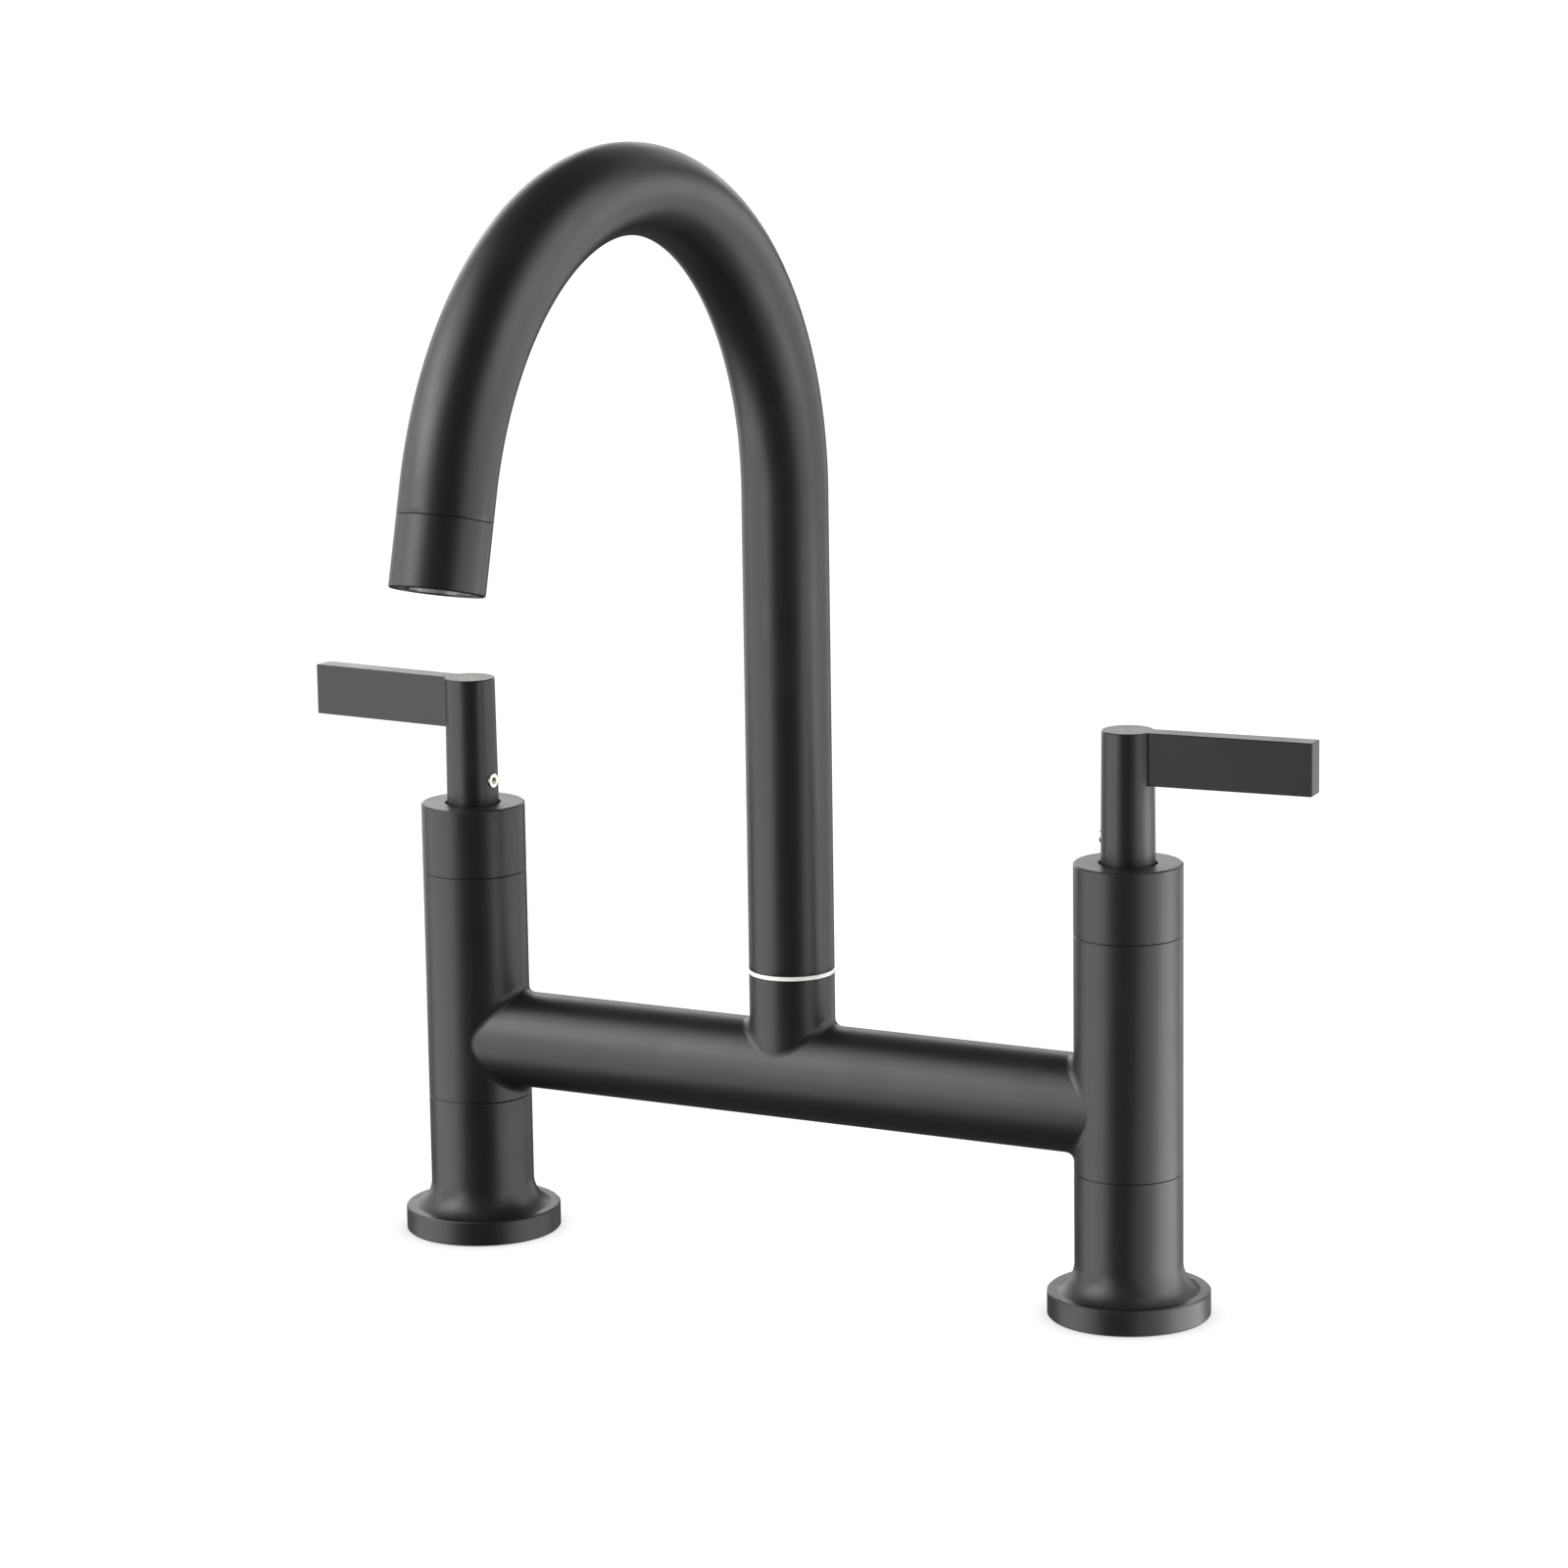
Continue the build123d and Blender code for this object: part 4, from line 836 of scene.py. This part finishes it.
def threaded_nipple_tree():
    """Nipples about the columns' axes, with an internal thread, a water way and spanner slots."""
    tree = Tree("threaded_nipple", {
        "Spacing": 0.2, "Radius": 0.012, "Foot": 0.001, "Top": 0.02, "Major radius": 0.0105,
        "Minor radius": 0.0093, "Pitch": 0.0018, "Thread end": 0.013, "Web end": 0.015,
        "Water way": 0.004, "Tube socket": 0.005, "Slot width": 0.003, "Slot depth": 0.002})
    foot, top, major = tree.size("Foot"), tree.size("Top"), tree.size("Major radius")
    pitch, thread_end, web_end = tree.size("Pitch"), tree.size("Thread end"), tree.size("Web end")

    def span(radius, low, high):
        return tree.bar(radius, high - low, (high + low) / 2.0)

    slots = tree.add("GeometryNodeMeshCube", {"Size": tree.vector(
        tree.size("Radius") * 3.0, tree.size("Slot width"), tree.size("Slot depth") * 2.0)})
    body = tree.combine(
        "DIFFERENCE", span(tree.size("Radius"), foot, top),
        span(major, foot - CUTTER_SPARE, thread_end),
        span(tree.size("Water way"), thread_end - CUTTER_SPARE, web_end + CUTTER_SPARE),
        span(tree.size("Tube socket"), web_end, top + CUTTER_SPARE), tree.lift(slots, foot))
    turns = (thread_end - foot - pitch * THREAD_RUNOUT) / pitch
    helix = tree.add("GeometryNodeCurveSpiral", {
        "Resolution": 48, "Rotations": turns, "Start Radius": major, "End Radius": major,
        "Height": turns * pitch})
    helix = tree.add("GeometryNodeSetCurveNormal", {"Curve": helix}, mode="Z_UP")
    ridge = tree.add("GeometryNodeCurvePrimitiveCircle", {"Resolution": 4, "Radius": 1.0})
    ridge = tree.add("GeometryNodeTransform", {"Geometry": ridge, "Scale": tree.vector(
        major - tree.size("Minor radius"), pitch * RIDGE_HALF_WIDTH, 1.0)})
    thread = tree.add("GeometryNodeCurveToMesh", {
        "Curve": helix, "Profile Curve": ridge, "Fill Caps": True})
    whole = tree.combine("UNION", body, tree.lift(thread, foot + pitch))
    return tree.close(tree.on_both_columns(whole))


def ribbed_gasket_tree():
    """Flat ring gaskets about the columns' axes, with round sealing ribs below."""
    tree = Tree("ribbed_gasket", {
        "Spacing": 0.2, "Inner radius": 0.016, "Outer radius": 0.02, "Thickness": 0.0016,
        "Ribs": 3, "Rib depth": 0.0004})
    inner, depth = tree.size("Inner radius"), tree.size("Rib depth")
    grid = tree.add("GeometryNodeMeshGrid", {
        "Size X": 2 * math.pi, "Size Y": 1.0, "Vertices X": GASKET_SIDES + 1,
        "Vertices Y": tree.size("Ribs") * RIB_STEPS + 1.0})
    turn, way = tree.place()[:2]
    way = (way + 0.5).math("FRACT")
    across = (way * 2.0).math("PINGPONG", 1.0)
    rib = (across * tree.size("Ribs") * math.pi).math("SINE").math("ABSOLUTE")
    upper = way.math("GREATER_THAN", PAST_EDGE)
    below = depth - rib * depth
    height = below + upper * (tree.size("Thickness") - below)
    radius = inner + (tree.size("Outer radius") - inner) * across
    ring = tree.add("GeometryNodeSetPosition", {"Geometry": grid, "Position": tree.vector(
        radius * turn.math("COSINE"), radius * turn.math("SINE"), height)})
    ring = tree.add("GeometryNodeMergeByDistance", {"Geometry": ring, "Distance": SEAM_DISTANCE})
    return tree.close(tree.on_both_columns(ring))


class FAUCET_OT_inlets(bpy.types.Operator):
    """Puts threaded nipples and ribbed gaskets below the columns"""
    bl_idname = "faucet.inlets"
    bl_label = "Inlets"

    def execute(self, context):
        inlets = context.scene.faucet_inlets
        low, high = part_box("right_inlet_nipple")
        spacing = low.x + high.x
        nipples = grow("threaded_inlet_nipples", threaded_nipple_tree(), {
            "Spacing": spacing, "Radius": (high.x - low.x) / 2, "Foot": low.z, "Top": high.z,
            "Major radius": inlets.major_radius, "Minor radius": inlets.minor_radius,
            "Pitch": inlets.pitch, "Thread end": inlets.thread_end, "Web end": inlets.web_end,
            "Water way": inlets.water_radius, "Tube socket": inlets.socket_radius,
            "Slot width": inlets.slot_width, "Slot depth": inlets.slot_depth,
        }, bpy.data.materials["turned_brass"])
        settle(nipples)
        fit_in(nipples, "faucet", "brass", "left_inlet_nipple", "right_inlet_nipple")
        low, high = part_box("right_base_gasket")
        gaskets = grow("ribbed_base_gaskets", ribbed_gasket_tree(), {
            "Spacing": spacing, "Inner radius": inlets.gasket_bore,
            "Outer radius": (high.x - low.x) / 2, "Thickness": high.z - low.z,
            "Ribs": inlets.ribs, "Rib depth": inlets.rib_depth,
        }, bpy.data.materials["seal_rubber"])
        settle(gaskets)
        fit_in(gaskets, "faucet", "black_rubber", "left_base_gasket", "right_base_gasket",
               place=Matrix.Translation((0, 0, low.z)))
        return {"FINISHED"}


# ---------------------------------------------------------------- stage
SENSOR_WIDTH = 36  # millimetres
FLOOR_LEVEL = -0.2 * MM
SHADOW_SAMPLES = 32
ROOM_GLOW, BACKDROP_GLOW = 0.12, 1.0
WARM_WHITE = (1.005, 1.0, 0.965)

# name, azimuth and elevation in degrees, distance, width and height in metres, brightness
SOFTBOXES = (
    ("left_wall", -57, 10, 1.4, 2.3, 3.2, 1.95),
    ("left_key", -42, 27, 1.35, 0.6, 0.6, 4.4),
    ("left_front", -22, 3, 1.35, 0.45, 0.7, 2.75),
    ("left_low", -52, -28, 1.3, 0.8, 0.6, 0.8),
    ("left_high", -65, 35, 1.4, 0.6, 0.5, 3.0),
    ("right_wall", 108, 0, 1.4, 2.3, 2.3, 1.7),
    ("right_high", 105, 40, 0.5, 0.35, 0.35, 1.35),
    ("right_strip", 90, -25, 0.24, 0.08, 0.25, 1.0),
    ("right_rear_strip", 120, -22, 0.25, 0.08, 0.25, 2.8),
    ("right_rear", 166, -4, 1.4, 0.6, 0.8, 1.15),
    ("rear_card", 150, 18, 0.5, 0.25, 0.2, 0.9),
    ("backdrop", 208, 15, 1.8, 1.6, 0.5, 2.3),
    ("rear_high", 182, 30, 1.8, 1.3, 0.6, 0.45),
    ("back_left", -125, 8, 1.6, 1.2, 1.4, 1.15),
    ("crown_left", -45, 55, 1.5, 0.8, 0.6, 1.1),
)


def direction(azimuth, elevation):
    """Unit vector from the faucet; azimuth 0 is straight in front, 90 degrees is to the right."""
    level = math.cos(elevation)
    return Vector((math.sin(azimuth) * level, -math.cos(azimuth) * level, math.sin(elevation)))


def add_camera(stage):
    """Camera at the photograph's viewing angle."""
    back = direction(stage.camera_azimuth, stage.camera_elevation)
    right = direction(stage.camera_azimuth + math.pi / 2, 0)
    up = back.cross(right)
    turn = Matrix((right, up, back)).transposed().to_4x4()
    turn = turn @ Matrix.Rotation(stage.camera_roll, 4, "Z")
    data = bpy.data.cameras.new("camera")
    data.sensor_width = SENSOR_WIDTH
    data.lens = stage.camera_lens
    camera = bpy.data.objects.new("camera", data)
    place = Vector(stage.camera_target) + back * stage.camera_distance
    camera.matrix_world = Matrix.Translation(place) @ turn
    bpy.context.scene.collection.objects.link(camera)
    bpy.context.scene.camera = camera


def add_softbox(name, azimuth, elevation, distance, width, height, brightness):
    """A soft rectangular light that faces the faucet, equally bright whatever its size."""
    data = bpy.data.lights.new(name, "AREA")
    data.shape = "RECTANGLE"
    data.size, data.size_y = width, height
    data.energy = brightness * math.pi * width * height
    data.color = WARM_WHITE
    light = bpy.data.objects.new(name, data)
    toward = direction(math.radians(azimuth), math.radians(elevation))
    light.matrix_world = facing(CENTRE + toward * distance, toward)
    light.visible_camera = False
    bpy.context.scene.collection.objects.link(light)


def add_floor(stage):
    """Large, evenly bright floor at the height of the deck, a little darker close to the feet."""
    mesh = bpy.data.meshes.new("floor")
    reach = stage.floor_radius
    corners = [(x * reach, y * reach, FLOOR_LEVEL) for x, y in ((-1, -1), (1, -1), (1, 1), (-1, 1))]
    mesh.from_pydata(corners, [], [(0, 1, 2, 3)])
    floor = bpy.data.objects.new("floor", mesh)
    bpy.context.scene.collection.objects.link(floor)
    material = bpy.data.materials.new("pale_floor")
    material.use_nodes = True
    tree = material.node_tree
    tree.nodes.clear()
    output = node(tree, "ShaderNodeOutputMaterial", (400, 0))
    open_sky = node(tree, "ShaderNodeAmbientOcclusion", (-500, 0),
                    {"Distance": stage.shadow_reach}, samples=SHADOW_SAMPLES)
    colour = node(tree, "ShaderNodeMix", (-200, 0), {
        "A": shade(stage.shadow_colour), "B": shade(stage.floor_colour)}, data_type="RGBA")
    glow = node(tree, "ShaderNodeEmission", (100, 0), {"Strength": stage.floor_glow})
    tree.links.new(open_sky.outputs["AO"], colour.inputs["Factor"])
    tree.links.new(colour.outputs["Result"], glow.inputs["Color"])
    tree.links.new(glow.outputs["Emission"], output.inputs["Surface"])
    mesh.materials.append(material)
    floor.visible_glossy = False
    floor.visible_diffuse = False
    floor.visible_shadow = False


def add_surroundings():
    """White backdrop for the camera, dim room for reflections."""
    world = bpy.data.worlds.new("studio")
    bpy.context.scene.world = world
    world.use_nodes = True
    tree = world.node_tree
    tree.nodes.clear()
    output = node(tree, "ShaderNodeOutputWorld", (600, 0))
    rays = node(tree, "ShaderNodeLightPath", (0, 300))
    white = (1, 1, 1, 1)
    room = node(tree, "ShaderNodeBackground", (200, 0), {"Color": white, "Strength": ROOM_GLOW})
    backdrop = node(tree, "ShaderNodeBackground", (200, -150), {
        "Color": white, "Strength": BACKDROP_GLOW})
    pick = node(tree, "ShaderNodeMixShader", (400, 0))
    tree.links.new(rays.outputs["Is Camera Ray"], pick.inputs["Fac"])
    tree.links.new(room.outputs[0], pick.inputs[1])
    tree.links.new(backdrop.outputs[0], pick.inputs[2])
    tree.links.new(pick.outputs[0], output.inputs["Surface"])


class FAUCET_OT_stage(bpy.types.Operator):
    """Makes the floor, the studio light and the camera"""
    bl_idname = "faucet.stage"
    bl_label = "Stage"

    def execute(self, context):
        stage = context.scene.faucet_stage
        add_floor(stage)
        add_surroundings()
        for softbox in SOFTBOXES:
            add_softbox(*softbox)
        add_camera(stage)
        context.scene.view_settings.view_transform = "Standard"
        return {"FINISHED"}


# ---------------------------------------------------------------- panel and registration
class FAUCET_PT_panel(bpy.types.Panel):
    """Lists the steps that dress the faucet"""
    bl_idname = "FAUCET_PT_panel"
    bl_label = "Faucet"
    bl_space_type = "VIEW_3D"
    bl_region_type = "UI"
    bl_category = "Faucet"

    def draw(self, context):
        for group in (getattr(context.scene, name) for name in SETTINGS):
            box = self.layout.box()
            for name in group.__annotations__:
                box.prop(group, name)
        for step in STEPS:
            self.layout.operator(step.bl_idname)


STEPS = (FAUCET_OT_finishes, FAUCET_OT_spout, FAUCET_OT_aerator, FAUCET_OT_screws, FAUCET_OT_marks,
         FAUCET_OT_inlets, FAUCET_OT_stage)
SETTINGS = {
    "faucet_finish": FaucetFinish,
    "faucet_spout": FaucetSpout,
    "faucet_aerator": FaucetAerator,
    "faucet_screws": FaucetScrews,
    "faucet_marks": FaucetMarks,
    "faucet_inlets": FaucetInlets,
    "faucet_stage": FaucetStage,
}


def register():
    for cls in (*SETTINGS.values(), *STEPS, FAUCET_PT_panel):
        bpy.utils.register_class(cls)
    for name, cls in SETTINGS.items():
        setattr(bpy.types.Scene, name, bpy.props.PointerProperty(type=cls))


def unregister():
    for name in SETTINGS:
        delattr(bpy.types.Scene, name)
    for cls in reversed((*SETTINGS.values(), *STEPS, FAUCET_PT_panel)):
        bpy.utils.unregister_class(cls)


def main():
    """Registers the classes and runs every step."""
    register()
    for step in STEPS:
        group, name = step.bl_idname.split(".")
        getattr(getattr(bpy.ops, group), name)()


if __name__ == "__main__":
    main()
